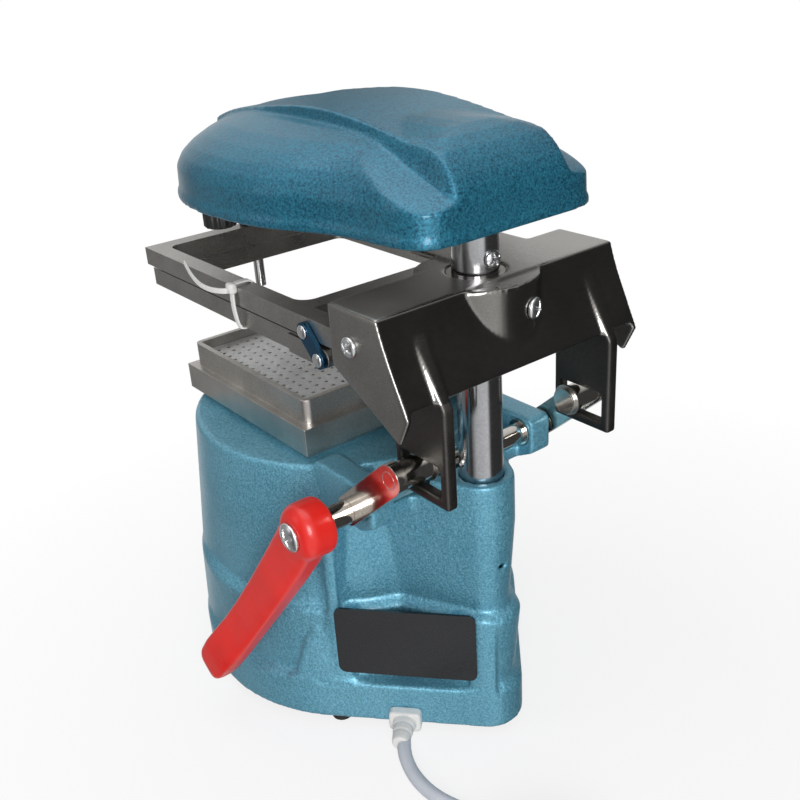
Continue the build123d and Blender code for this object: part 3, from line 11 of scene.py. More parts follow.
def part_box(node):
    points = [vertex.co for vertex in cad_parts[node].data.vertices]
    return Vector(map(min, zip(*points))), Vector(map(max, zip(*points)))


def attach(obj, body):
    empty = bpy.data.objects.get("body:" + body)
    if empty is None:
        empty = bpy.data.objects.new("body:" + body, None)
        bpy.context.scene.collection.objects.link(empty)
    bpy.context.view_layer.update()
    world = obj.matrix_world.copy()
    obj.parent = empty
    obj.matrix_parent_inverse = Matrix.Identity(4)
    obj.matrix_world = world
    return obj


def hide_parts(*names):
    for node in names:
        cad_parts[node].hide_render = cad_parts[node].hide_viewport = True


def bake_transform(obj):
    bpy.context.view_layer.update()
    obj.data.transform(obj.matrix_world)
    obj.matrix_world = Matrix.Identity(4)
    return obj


bl_info = {
    "name": "Dental vacuum former",
    "version": (1, 0, 0),
    "blender": (4, 5, 0),
    "location": "View3D > Sidebar > Vacuum former",
    "description": "Finishes and detailed pieces of a dental vacuum former",
    "category": "Object",
}

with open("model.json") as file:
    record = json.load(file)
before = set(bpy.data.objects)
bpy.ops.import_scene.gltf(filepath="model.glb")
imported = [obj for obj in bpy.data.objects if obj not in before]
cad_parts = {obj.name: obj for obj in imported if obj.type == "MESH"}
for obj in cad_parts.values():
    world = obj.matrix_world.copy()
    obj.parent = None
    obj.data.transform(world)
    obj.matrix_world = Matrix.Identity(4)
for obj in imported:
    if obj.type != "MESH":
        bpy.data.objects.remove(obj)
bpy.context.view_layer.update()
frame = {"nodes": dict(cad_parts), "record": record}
NODES = frame["nodes"]
MM = 0.001

# --- places and shapes, in mm
SHAFT = (-20.0, 144.5)  # y and z of the cross shaft
PLATE_Y = -118.0  # middle of the vacuum plate
SHEET_TOP = 176.0
SHEET_THICK = 1.5
YOKE_SHADE_HALF_WIDTH = 60.0  # half width of the yoke under the holder's top, and the height where it ends; there the holder gets painted shade
YOKE_SHADE_TOP = 212.0
CORNERS = ((1, 1), (-1, 1), (-1, -1), (1, -1))
FINE_GRAIN = {  # voxel and rounds of smoothing of the small softened pieces
    "lever_arm": (0.7, 8), "gland_sleeve": (0.35, 2), "lead_plug": (0.7, 3),
}

LEVER_ROOT_X = 87.0
LEVER_TIP = (104.0, -94.0, 38.8)
LEVER_STATIONS = [  # share of the length, x, half thickness, half width
    (0.02, 86.6, 7.9, 11.6), (0.12, 86.7, 7.8, 11.5), (0.3, 88.6, 7.4, 11.2), (0.5, 91.6, 6.9, 10.7),
    (0.66, 94.6, 6.6, 10.4), (0.78, 97.4, 6.7, 10.4), (0.88, 100.6, 7.2, 10.6), (0.96, 103.4, 7.5, 10.6),
    (1.03, 105.0, 7.2, 10.0), (1.07, 105.6, 6.0, 8.4),
]
HUB = (78.0, 95.0, 13.5)  # inner face, outer face and radius of the lever's hub
HUB_INNER_ROUND = [(0.0, 1.6), (0.8, 0.5), (2.2, 0.0)]
HUB_OUTER_ROUND = [(6.0, 0.0), (3.6, 0.7), (1.6, 2.2), (0.4, 4.2), (0.0, 6.2)]

LEAD_ROUTE = [
    (31.04, -27.65, 9.0), (53.62, -7.45, 9.0), (61.9, 9.5, 5.4), (62.1, 29.0, 3.6), (54.0, 50.0, 3.6),
    (42.0, 69.0, 3.6),
]
COIL_CENTRE = (62.0, 108.0)
COIL_TURNS = [  # angle in degrees, radius and height of the lead's middle line
    (215, 41.6, 3.6), (-50, 42.4, 3.6), (-110, 35.2, 3.6), (-375, 35.2, 3.6), (-425, 35.2, 10.7),
    (-715, 35.2, 10.7), (-775, 42.4, 10.7), (-1060, 42.4, 10.7), (-1110, 38.8, 16.9), (-1330, 38.8, 16.9),
]
COIL_STEP = 26.0  # degrees between the coil's points
LEAD_TAIL = [
    (66.0, 149.5, 15.0), (82.0, 150.5, 10.5), (97.0, 146.5, 5.6), (108.0, 140.0, 6.0), (116.0, 135.5, 7.6),
]
PLUG_FROM = (97.0, 144.5, 4.4)  # the plug points from here to the lead's end
PIN_START = 36.3  # distance of the plug's bright pins from the lead's end

LEDGES = [  # height and how far the wall is drawn in there
    (0.0, 0.0), (25.6, 0.0), (30.4, 3.6), (60.0, 0.9), (70.0, 0.0), (74.8, 3.6), (122.0, 0.0),
]
LEDGE_FADE = (-150.0, -120.0)  # y from where to where the ledges grow: the front keeps its plain wall
LABEL_WAY = (0.7517, 0.6597)  # way that the label faces, and its distance from the post's axis
LABEL_REACH = 17.4
LABEL_CLEAR = 1.2  # depth beside the label's plane that stays as it is

HEAD_LOW = 270.5  # lower edge of the head's cover
HEAD_INSIDE = 12.0  # height above it from where faces that look down are the dome's inside
HEAD_WALL = 2.5
BAND_HALF = 30.0  # half width of the raised band over the head
BAND_STEP = 2.6  # width of the slope at the band's sides
SHOULDER = [  # y and height of the dome right beside the band
    (-74.0, 318.0), (-62.0, 312.5), (-50.0, 310.0), (-30.0, 306.6), (-20.0, 304.2), (-8.0, 299.6), (5.0, 294.6),
    (15.0, 290.7), (24.0, 287.0),
]
SHOULDER_FALL = 0.25
SHOULDER_ROUND = 1.6

KNOB_RIBS = 14
KNOB_SHAPE = [  # depth under the head, radius and rib height
    (0.0, 5.2, 0.0), (2.4, 5.2, 0.0), (2.8, 7.0, 0.1), (3.4, 7.6, 0.3), (9.4, 7.6, 0.3), (10.2, 7.0, 0.2),
    (10.6, 5.8, 0.0), (10.7, 4.0, 0.0),
]
GLAND_SEAT = (40.95, -18.78, 9.0)
GLAND_WAY = (0.7454, 0.6667, 0.0)
GLAND_SHAPE = [  # distance from the wall, half width, half height, squareness
    (-1.5, 6.4, 4.6, 5.0), (0.0, 8.0, 5.6, 6.0), (0.3, 8.4, 6.0, 6.0), (4.6, 8.4, 6.0, 6.0), (5.3, 7.9, 5.5, 5.0),
    (5.5, 6.0, 5.2, 2.4), (8.4, 5.7, 5.0, 2.1), (8.8, 5.1, 4.8, 2.0), (9.9, 5.1, 4.8, 2.0), (10.3, 5.4, 4.9, 2.0),
    (13.2, 5.1, 4.7, 2.0), (13.6, 4.6, 4.4, 2.0), (14.7, 4.6, 4.4, 2.0), (15.1, 4.8, 4.5, 2.0),
    (18.6, 4.4, 4.3, 2.0), (19.8, 4.1, 4.0, 2.0), (20.2, 3.6, 3.6, 2.0),
]
HEADS = [  # body, node, seat, way out, head radius and height
    ("base", "post_screws", (0.0, 10.5, 254.0), (0, 1, 0), 4.2, 2.5),
    ("carrier", "carrier_set_screw", (-7.95, 26.85, 234.0), (-0.284, 0.9588, 0), 5.0, 2.7),
    ("carrier", "pivot_screws", (68.0, -0.8, 231.7), (1, 0, 0), 4.6, 2.5),
    ("carrier", "pivot_screws", (-68.0, -0.8, 231.7), (-1, 0, 0), 4.6, 2.5),
    ("crank", "lever_screw", (95.0, -20.0, 144.5), (1, 0, 0), 7.0, 3.1),
]
RIVETS = [
    ("carrier", "link_rivets", (side * 67.3, y, z), (side, 0, 0), 3.2, 1.5)
    for side in (1, -1) for y, z in ((-36.8, 228.1), (-26.8, 217.8))
]
CROSS = 0.56  # half length of a pressed cross, in radii of its head

TIE_Y = -97.0
TIE_THICK = 1.1
TIE_LOOP = [  # x and z round both frames
    (66.3, 233.0), (65.6, 235.4), (62.0, 235.6), (57.5, 235.4), (54.9, 233.6), (54.6, 224.0), (54.7, 214.6),
    (56.6, 212.6), (61.5, 212.4), (64.6, 213.0), (66.0, 217.0), (66.8, 224.0), (66.8, 230.0),
]
TIE_TAIL = [
    (66.6, -97.0, 232.5), (69.5, -100.0, 232.0), (72.0, -108.0, 231.5), (72.6, -118.0, 232.0),
    (71.0, -129.0, 234.5), (68.6, -139.0, 238.0),
]
TIE_LOCK = [(64.9, 0.85), (65.5, 1.0), (67.6, 1.0), (68.4, 0.8)]  # x and share of the lock's full size
TIE_LOCK_Z = 233.6
TIE_LOCK_HALF = (2.7, 2.6)  # half width and half height of the lock

# --- stage, in metres
VIEW = (
    (-0.7788, -0.3135, 0.5433, 0.2763),
    (0.6243, -0.3032, 0.7199, 0.30605),
    (-0.0609, 0.8998, 0.4319, 0.38415),
    (0.0, 0.0, 0.0, 1.0),
)
LAMPS = [  # name, place, target, size and watts
    ("overhead", (0.1, -0.15, 1.25), (0.0, -0.08, 0.15), (0.9, 0.9), 3.4),
    ("left_box", (1.15, -0.55, 0.62), (0.0, -0.08, 0.16), (0.5, 0.8), 0.9),
    ("front_box", (0.62, 0.86, 0.62), (0.0, -0.05, 0.14), (0.4, 0.6), 9.0),
]
SKY_AS_LIGHT = 0.3  # strength of the white surround for diffuse light
TENT_R = 2.4
TENT_STRIPS = [  # share of a turn and grey level
    (0.0, 0.1), (0.09, 0.55), (0.125, 0.8), (0.145, 0.35), (0.16, 0.12), (0.172, 0.3), (0.19, 0.8), (0.25, 0.7),
    (0.29, 0.2), (0.36, 0.3), (0.42, 0.2), (0.5, 0.04), (0.57, 0.7), (0.74, 0.95), (0.78, 0.06), (1.0, 0.05),
]
FLOOR_R = 0.9
FLOOR_FADE = (0.14, 0.42)  # distance from the origin where the floor starts and ends turning white
FLOOR_WHITE = (0.78, 1.0)  # share of plain white at those distances
WHITE = (1.0, 1.0, 1.0, 1.0)
EVEN = (1.0, 1.0, 1.0)  # no stretch of a texture


# --- sizes and colours
class FormerSizes(bpy.types.PropertyGroup):
    """Sizes that can be changed before the pieces are built."""

    casting_grain: bpy.props.FloatProperty(
        name="Casting voxel", description="Mesh size of the cast base", default=1.3 * MM, unit="LENGTH"
    )
    casting_softness: bpy.props.IntProperty(
        name="Casting softness", description="Rounds of smoothing on the cast edges", default=2, min=0
    )
    head_grain: bpy.props.FloatProperty(
        name="Head voxel", description="Mesh size of the heater head's cover", default=1.1 * MM, unit="LENGTH"
    )
    head_softness: bpy.props.IntProperty(
        name="Head softness", description="Rounds of smoothing on the head's edges", default=3, min=0
    )
    holder_grain: bpy.props.FloatProperty(
        name="Holder voxel", description="Mesh size of the holder's casting", default=0.9 * MM, unit="LENGTH"
    )
    hole_pitch: bpy.props.FloatProperty(
        name="Hole pitch", description="Distance between the holes of the sheet", default=6.0 * MM, unit="LENGTH"
    )
    hole_radius: bpy.props.FloatProperty(
        name="Hole radius", description="Radius of the holes of the sheet", default=1.0 * MM, unit="LENGTH"
    )
    hole_rows: bpy.props.IntProperty(
        name="Hole rows", description="Rows of holes each way in the sheet", default=16, min=1
    )
    lead_radius: bpy.props.FloatProperty(
        name="Lead radius", description="Radius of the mains lead", default=3.5 * MM, unit="LENGTH"
    )
    lead_length: bpy.props.FloatProperty(
        name="Lead length", description="Length of the mains lead up to its plug", default=1.25, unit="LENGTH"
    )
    tie_width: bpy.props.FloatProperty(
        name="Tie width", description="Width of the nylon tie", default=3.4 * MM, unit="LENGTH"
    )


class FormerColours(bpy.types.PropertyGroup):
    """Colours of the finishes, linear values."""

    base_light: bpy.props.FloatVectorProperty(
        name="Base paint, light", description="Light flakes of the base's enamel", subtype="COLOR",
        default=(0.19, 0.52, 0.69),
    )
    base_deep: bpy.props.FloatVectorProperty(
        name="Base paint, deep", description="Deep tone of the base's enamel", subtype="COLOR",
        default=(0.065, 0.29, 0.41),
    )
    head_light: bpy.props.FloatVectorProperty(
        name="Head paint, light", description="Light flakes of the head's enamel", subtype="COLOR",
        default=(0.024, 0.22, 0.34),
    )
    head_deep: bpy.props.FloatVectorProperty(
        name="Head paint, deep", description="Deep tone of the head's enamel", subtype="COLOR",
        default=(0.003, 0.07, 0.135),
    )
    lever_red: bpy.props.FloatVectorProperty(
        name="Lever red", description="Enamel of the lever", subtype="COLOR", default=(0.78, 0.016, 0.01)
    )
    nickel: bpy.props.FloatVectorProperty(
        name="Nickel", description="Plating of the frames and the holder", subtype="COLOR",
        default=(0.47, 0.455, 0.43),
    )
    lead_grey: bpy.props.FloatVectorProperty(
        name="Lead grey", description="Sheath of the mains lead", subtype="COLOR", default=(0.56, 0.60, 0.66)
    )


# --- node helpers
def add_node(tree, kind, wanted=None, **settings):
    """New node: each wanted input, by name or number, gets a value, a link or a list of links."""
    node = tree.nodes.new(kind)
    for name, value in settings.items():
        setattr(node, name, value)
    for key, value in (wanted or {}).items():
        if isinstance(value, (list, bpy.types.NodeSocket)):
            for source in value if isinstance(value, list) else [value]:
                tree.links.new(source, node.inputs[key])
        else:
            node.inputs[key].default_value = value
    return node


def output_of(tree, kind, wanted=None, **settings):
    """First output of a new node."""
    return add_node(tree, kind, wanted, **settings).outputs[0]


def blank_tree(owner):
    """Empty node tree of a material or world."""
    owner.use_nodes = True
    owner.node_tree.nodes.clear()
    return owner.node_tree


def blank_material(name):
    """New material and its empty tree."""
    material = bpy.data.materials.new(name)
    return material, blank_tree(material)


def object_place(tree, stretch=EVEN):
    """Object coordinates, stretched along the axes."""
    place = add_node(tree, "ShaderNodeTexCoord").outputs["Object"]
    return output_of(tree, "ShaderNodeMapping", {"Vector": place, "Scale": stretch})


def noise(tree, place, scale, detail=3.0, roughness=0.55):
    """Value of a noise."""
    wanted = {"Vector": place, "Scale": scale, "Detail": detail, "Roughness": roughness}
    return add_node(tree, "ShaderNodeTexNoise", wanted).outputs["Fac"]


def cells(tree, place, scale, smooth=0.6):
    """Distance to the nearest cell, with soft borders."""
    wanted = {"Vector": place, "Scale": scale, "Smoothness": smooth}
    return add_node(tree, "ShaderNodeTexVoronoi", wanted, feature="SMOOTH_F1").outputs["Distance"]


def blend_values(tree, first, second, share):
    """Mix of two values by the second one's share."""
    return output_of(tree, "ShaderNodeMix", {0: share, 2: first, 3: second}, data_type="FLOAT")


def calculated(tree, operation, first, second):
    """Result of one sum."""
    return output_of(tree, "ShaderNodeMath", {0: first, 1: second}, operation=operation)


def ramp(tree, value, stops):
    """Colours along a value: stops are (place, colour)."""
    node = add_node(tree, "ShaderNodeValToRGB", {0: value})
    elements = node.color_ramp.elements
    while len(elements) < len(stops):
        elements.new(0.5)
    for element, (place, colour) in zip(elements, stops):
        element.position = place
        element.color = (*colour, 1.0)
    return node.outputs[0]


def span(tree, value, low, high, start=0.3, end=0.7):
    """Value that runs from start to end, brought to run from low to high."""
    wanted = {"Value": value, "From Min": start, "From Max": end, "To Min": low, "To Max": high}
    return add_node(tree, "ShaderNodeMapRange", wanted).outputs["Result"]


def dressed(material, inputs, height, depth, strength, edge=0.0):
    """Material with a shader of these inputs, and bump from a height on edges rounded by the radius edge."""
    tree = material.node_tree
    bump = {"Strength": strength, "Distance": depth, "Height": height}
    if edge > 0:
        bump["Normal"] = output_of(tree, "ShaderNodeBevel", {"Radius": edge}, samples=4)
    inputs["Normal"] = output_of(tree, "ShaderNodeBump", bump)
    add_node(tree, "ShaderNodeOutputMaterial", {0: output_of(tree, "ShaderNodeBsdfPrincipled", inputs)})
    return material


def tint(colour, factor):
    """Colour made lighter or darker."""
    return tuple(min(1.0, channel * factor) for channel in colour)


def two_tones(tree, tone, colour, dark, light, start=0.3, end=0.7):
    """Ramp between two tints of one colour."""
    return ramp(tree, tone, [(start, tint(colour, dark)), (end, tint(colour, light))])


# --- finishes
def hammertone(name, light, deep):
    """Blue-green hammertone enamel: fine dimples and flakes under a satin gloss."""
    material, tree = blank_material(name)
    place = object_place(tree)
    dimples = cells(tree, place, scale=430.0)
    flakes = noise(tree, place, scale=1000.0, detail=2.0, roughness=0.7)
    clouds = noise(tree, place, scale=14.0)
    tone = blend_values(tree, flakes, clouds, 0.25)
    return dressed(material, {
        "Base Color": ramp(tree, tone, [(0.36, deep), (0.5, tint(light, 0.74)), (0.64, light)]),
        "Roughness": span(tree, flakes, 0.34, 0.56),
        "Metallic": 0.5,
        "Coat Weight": 0.45,
        "Coat Roughness": 0.2,
        "Coat IOR": 1.5,
    }, blend_values(tree, dimples, flakes, 0.55), depth=0.0007, strength=0.6)


def plated(name, colour, rough, grain, streak, stretch=EVEN, edge=0.0):
    """Nickel or zinc plate: fine grain along one way, faint clouds and smudges."""
    material, tree = blank_material(name)
    brush = noise(tree, object_place(tree, stretch), grain, detail=4.0, roughness=0.65)
    clouds = noise(tree, object_place(tree), scale=26.0, detail=4.0)
    tone = blend_values(tree, brush, clouds, 0.5)
    return dressed(material, {
        "Base Color": two_tones(tree, tone, colour, 0.78, 1.12),
        "Roughness": span(tree, tone, rough * 0.8, rough * 1.3),
        "Metallic": 1.0,
    }, brush, 0.00006, streak, edge)


def blasted(name, colour, rough, edge=0.0):
    """Plated casting skin with a fine even grit."""
    material, tree = blank_material(name)
    place = object_place(tree)
    grit = noise(tree, place, scale=1900.0, roughness=0.7)
    clouds = noise(tree, place, scale=34.0, detail=4.0)
    tone = blend_values(tree, grit, clouds, 0.35)
    return dressed(material, {
        "Base Color": two_tones(tree, tone, colour, 0.6, 1.2, start=0.34, end=0.66),
        "Roughness": span(tree, clouds, rough * 0.85, rough * 1.2),
        "Metallic": 1.0,
    }, grit, 0.00012, 0.6, edge)


def enamel(name, colour, rough):
    """Smooth gloss paint with a slight orange peel."""
    material, tree = blank_material(name)
    place = object_place(tree)
    peel = noise(tree, place, scale=240.0, detail=2.0)
    clouds = noise(tree, place, scale=30.0)
    return dressed(material, {
        "Base Color": two_tones(tree, clouds, colour, 0.86, 1.06),
        "Roughness": span(tree, clouds, rough * 0.9, rough * 1.4),
        "Coat Weight": 0.2,
        "Coat Roughness": 0.1,
    }, peel, 0.00012, 0.2)


def moulded(name, colour, rough, grain, depth, edge=0.0):
    """Moulded plastic, rubber or ceramic with a faint skin."""
    material, tree = blank_material(name)
    place = object_place(tree)
    skin = noise(tree, place, grain)
    clouds = noise(tree, place, scale=40.0)
    return dressed(material, {
        "Base Color": two_tones(tree, clouds, colour, 0.9, 1.06),
        "Roughness": span(tree, skin, rough * 0.85, rough * 1.15),
    }, skin, depth, 0.5, edge)


def build_finishes(colours):
    """All finishes by the record's slot names, and those of the Blender pieces."""
    nickel = colours.nickel
    return {
        "base_paint": hammertone("base_hammertone", colours.base_light, colours.base_deep),
        "head_paint": hammertone("head_hammertone", colours.head_light, colours.head_deep),
        "nickel": blasted("nickel_satin", nickel, 0.3, 0.5 * MM),
        # painted shade: the holder's back gets this polished nickel, darkened to 0.55
        "nickel_polished_painted_shade": plated("nickel_polished_painted_shade", tint(nickel, 0.55), 0.2, 300.0, 0.25, (1.0, 6.0, 6.0)),
        "nickel_bright": plated("nickel_bright", (0.7, 0.66, 0.61), 0.12, 380.0, 0.08, edge=0.5 * MM),
        # painted shade: the holder's side cheeks get this grained nickel, darkened to 0.82
        "nickel_grained_painted_shade": blasted("nickel_grained_painted_shade", tint(nickel, 0.82), 0.36),
        # painted shade: near-black nickel for the yoke under the holder's top, where shade falls
        "nickel_painted_shade": blasted("nickel_painted_shade", tint(nickel, 0.22), 0.42),
        "plate_cast": blasted("plate_satin", tint(nickel, 1.35), 0.36, 0.9 * MM),
        "bright_aluminium": blasted("sheet_aluminium", (0.92, 0.92, 0.91), 0.45),
        "chrome": plated("chrome_bright", (0.74, 0.735, 0.73), 0.075, 420.0, 0.08, (6.0, 6.0, 0.6), 0.25 * MM),
        "post_chrome": plated("post_chrome", (0.46, 0.465, 0.48), 0.14, 700.0, 0.2),
        "screw_bright": plated("screw_bright", (0.82, 0.83, 0.84), 0.24, 500.0, 0.15),
        "steel": plated("steel_sheet", (0.42, 0.415, 0.41), 0.34, 260.0, 0.4, (1.0, 8.0, 8.0), 0.3 * MM),
        "screw_steel": plated("zinc_screw", (0.62, 0.62, 0.6), 0.28, 500.0, 0.3, edge=0.2 * MM),
        "iron": moulded("dark_iron", (0.06, 0.058, 0.055), 0.5, 1200.0, 0.0001),
        "bronze": plated("bush_bronze", (0.5, 0.34, 0.17), 0.38, 900.0, 0.4),
        "blue_zinc": plated("blue_zinc", (0.035, 0.12, 0.22), 0.24, 420.0, 0.25, edge=0.3 * MM),
        "red_paint": enamel("lever_red", colours.lever_red, 0.3),
        "label_black": moulded("label_black", (0.012, 0.013, 0.015), 0.3, 700.0, 0.00002, 0.3 * MM),
        "black_rubber": moulded("black_rubber", (0.012, 0.012, 0.012), 0.7, 1100.0, 0.00008, 0.4 * MM),
        "black_plastic": moulded("black_plastic", (0.014, 0.014, 0.014), 0.4, 800.0, 0.00005, 0.4 * MM),
        "white_plastic": moulded("white_nylon", (0.78, 0.78, 0.76), 0.38, 500.0, 0.00003, 0.3 * MM),
        "cord_grey": moulded("lead_sheath", colours.lead_grey, 0.42, 1300.0, 0.00005),
        "red_plastic": moulded("rocker_red", (0.5, 0.012, 0.01), 0.25, 400.0, 0.00002, 0.4 * MM),
        "green_plastic": moulded("rocker_green", (0.01, 0.22, 0.06), 0.25, 400.0, 0.00002, 0.4 * MM),
        "ceramic": moulded("heater_ceramic", (0.62, 0.58, 0.5), 0.6, 900.0, 0.0001, 0.4 * MM),
    }


FINISHES = {}
SPECIAL_FINISH = {  # nodes that get another finish than their record's slot
    "vacuum_plate": "plate_cast",
    "post": "post_chrome",
    "lever_screw": "screw_bright",
    **dict.fromkeys(("near_crank_arm", "far_crank_arm", "crank_pins", "cross_shaft"), "nickel_bright"),
    **dict.fromkeys(("shaft_bushes", "post_bush"), "nickel_bright"),
}


# --- mesh helpers
def millimetres(point):
    """Point given in mm, in metres."""
    return Vector(point) * MM


def around(sides, start=0):
    """Angles of evenly spaced points on a circle."""
    return [math.tau * (i + start) / sides for i in range(sides)]


def eased(share):
    """Share between 0 and 1 that starts and ends slowly."""
    return share * share * (3 - 2 * share)


def link(name, data):
    """Object of that data in the scene."""
    piece = bpy.data.objects.new(name, data)
    bpy.context.scene.collection.objects.link(piece)
    return piece


def new_mesh(name, bm, smooth=True):
    """Mesh from a bmesh with its faces turned outwards."""
    bmesh.ops.recalc_face_normals(bm, faces=bm.faces)
    for face in bm.faces:
        face.smooth = smooth
    mesh = bpy.data.meshes.new(name)
    bm.to_mesh(mesh)
    bm.free()
    return mesh


def baked(piece):
    """Plain mesh of a piece with its modifiers applied, and the modifiers removed."""
    graph = bpy.context.evaluated_depsgraph_get()
    mesh = bpy.data.meshes.new_from_object(piece.evaluated_get(graph))
    piece.modifiers.clear()
    piece.data = mesh
    return piece


def triples(items, field):
    """Three numbers of each vertex or face of a mesh, as rows."""
    values = np.empty(len(items) * 3)
    items.foreach_get(field, values)
    return values.reshape(-1, 3)


def move_vertices(mesh, spots):
    """New places for all vertices, in metres."""
    mesh.vertices.foreach_set("co", spots.ravel())
    mesh.update()


def relax(mesh, rounds, share=0.5):
    """Rounds of smoothing: each vertex moves by a share towards the middle of its neighbours."""
    spots = triples(mesh.vertices, "co")
    count = len(spots)
    ends = np.empty(len(mesh.edges) * 2, np.int32)
    mesh.edges.foreach_get("vertices", ends)
    ends = ends.reshape(-1, 2)
    degree = np.maximum(np.bincount(ends.ravel(), minlength=count), 1)
    for _ in range(rounds):
        middle = np.empty_like(spots)
        for axis in range(3):
            total = np.bincount(ends[:, 0], spots[ends[:, 1], axis], count)
            total += np.bincount(ends[:, 1], spots[ends[:, 0], axis], count)
            middle[:, axis] = total / degree
        spots += share * (middle - spots)
    move_vertices(mesh, spots)


def remeshed(piece, voxel, rounds):
    """Even mesh of a closed piece, with its edges softened."""
    modifier = piece.modifiers.new("even", "REMESH")
    modifier.mode = "VOXEL"
    modifier.voxel_size = voxel
    modifier.use_smooth_shade = True
    baked(piece)
    relax(piece.data, rounds)
    return piece


def recast(name, node, voxel, rounds):
    """Softened copy of a CAD node."""
    bm = bmesh.new()
    bm.from_mesh(NODES[node].data)
    bmesh.ops.remove_doubles(bm, verts=bm.verts, dist=0.001 * MM)
    mesh = bpy.data.meshes.new(name)
    bm.to_mesh(mesh)
    bm.free()
    piece = remeshed(link(name, mesh), voxel, rounds)
    piece.data.materials.clear()
    return piece


def ring_faces(bm, first, second):
    """Faces between two rings of vertices."""
    count = len(first)
    for i in range(count):
        j = (i + 1) % count
        bm.faces.new((first[i], first[j], second[j], second[i]))


def loft(bm, rings, closed_ends=True):
    """Skin through rings of points, all with the same count."""
    rows = [[bm.verts.new(point) for point in ring] for ring in rings]
    for first, second in zip(rows, rows[1:]):
        ring_faces(bm, first, second)
    if closed_ends:
        bm.faces.new(rows[0])
        bm.faces.new(rows[-1])
    return rows


def skin_mesh(name, *skins):
    """Mesh of closed skins, each through its own rings."""
    bm = bmesh.new()
    for rings in skins:
        loft(bm, rings)
    return new_mesh(name, bm)


def turned(profile, centre, sides=48):
    """Rings of a piece turned about the x axis: the profile is (place along the axis, radius)."""
    return [
        [Vector(centre) + Vector((along, radius * math.cos(turn), radius * math.sin(turn))) for turn in around(sides)]
        for along, radius in profile
    ]


def soft_box(centre, along, across, half_along, half_across, power=4.5, sides=40):
    """Ring of a rounded rectangle between two directions."""
    ring = []
    for turn in around(sides):
        c, s = math.cos(turn), math.sin(turn)
        reach = (abs(c) ** power + abs(s) ** power) ** (-1 / power)
        offset = Vector(along) * (half_along * c * reach) + Vector(across) * (half_across * s * reach)
        ring.append(Vector(centre) + offset)
    return ring


def coat(mesh, finish):
    """The finish as the mesh's only material."""
    mesh.materials.clear()
    mesh.materials.append(FINISHES[finish])


def place_piece(piece, body, slot, *nodes):
    """Body and the CAD nodes that the piece stands for; the slot is not used."""
    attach(piece, body)
    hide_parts(*nodes)
    return piece


def finish_piece(piece, body, finish, *nodes):
    """As place_piece, with the finish of the same name as the slot."""
    coat(piece.data, finish)
    place_piece(piece, body, finish, *nodes)


# --- geometry nodes
def nodes_tree(name, inputs):
    """Geometry node tree with named inputs (name, socket type, default), and their outputs and identifiers."""
    tree = bpy.data.node_groups.new(name, "GeometryNodeTree")
    tree.interface.new_socket("Geometry", in_out="INPUT", socket_type="NodeSocketGeometry")
    sockets = {}
    for label, kind, default in inputs:
        socket = tree.interface.new_socket(label, in_out="INPUT", socket_type=kind)
        if default is not None:
            socket.default_value = default
        sockets[label] = socket.identifier
    tree.interface.new_socket("Geometry", in_out="OUTPUT", socket_type="NodeSocketGeometry")
    return tree, add_node(tree, "NodeGroupInput").outputs, sockets


def close_tree(tree, given, geometry):
    """Ends a tree: instances made real, material set, output."""
    real = output_of(tree, "GeometryNodeRealizeInstances", {"Geometry": geometry})
    wanted = {"Geometry": real, "Material": given["Material"]}
    add_node(tree, "NodeGroupOutput", {0: output_of(tree, "GeometryNodeSetMaterial", wanted)})


def apply_tree(piece, tree, sockets, values):
    """The tree on the piece, with its inputs set by identifier, made into a plain mesh."""
    modifier = piece.modifiers.new(tree.name, "NODES")
    modifier.node_group = tree
    for label, value in values.items():
        modifier[sockets[label]] = value
    return baked(piece)


def hole_tile(pitch, radius, sides=16):
    """Square tile with a round hole in its middle."""
    bm = bmesh.new()
    outer, inner = [], []
    for turn in around(sides, 0.5):
        c, s = math.cos(turn), math.sin(turn)
        reach = pitch / 2 / max(abs(c), abs(s))
        inner.append(bm.verts.new((radius * c, radius * s, 0)))
        outer.append(bm.verts.new((reach * c, reach * s, 0)))
    ring_faces(bm, inner, outer)
    for corner in [bm.verts.new((sx * pitch / 2, sy * pitch / 2, 0)) for sx, sy in CORNERS]:
        near = sorted(outer, key=lambda vertex: (vertex.co - corner.co).length)[:2]
        bm.faces.new((corner, near[0], near[1]))
    return new_mesh("hole_tile", bm, smooth=False)


def tile_array_tree():
    """Copies the tile on a grid, joins the copies and gives them a thickness."""
    tree, given, sockets = nodes_tree("perforation", [
        ("Pitch", "NodeSocketFloat", 0.006),
        ("Rows", "NodeSocketInt", 16),
        ("Thickness", "NodeSocketFloat", 0.0015),
        ("Material", "NodeSocketMaterial", None),
    ])
    size = calculated(tree, "MULTIPLY", calculated(tree, "SUBTRACT", given["Rows"], 1.0), given["Pitch"])
    grid = output_of(tree, "GeometryNodeMeshGrid", {
        "Size X": size, "Size Y": size, "Vertices X": given["Rows"], "Vertices Y": given["Rows"],
    })
    copies = output_of(tree, "GeometryNodeInstanceOnPoints", {"Points": grid, "Instance": given["Geometry"]})
    real = output_of(tree, "GeometryNodeRealizeInstances", {"Geometry": copies})
    weld = output_of(tree, "GeometryNodeMergeByDistance", {"Geometry": real, "Distance": 0.00002})
    under = output_of(tree, "GeometryNodeFlipFaces", {0: weld})
    offset = output_of(tree, "ShaderNodeCombineXYZ", {"Z": given["Thickness"]})
    raised = output_of(tree, "GeometryNodeExtrudeMesh", {"Individual": False, "Mesh": weld, "Offset": offset})
    joined = output_of(tree, "GeometryNodeJoinGeometry", {0: [raised, under]})
    shut = output_of(tree, "GeometryNodeMergeByDistance", {"Geometry": joined, "Distance": 0.00001})
    close_tree(tree, given, shut)
    return tree, sockets


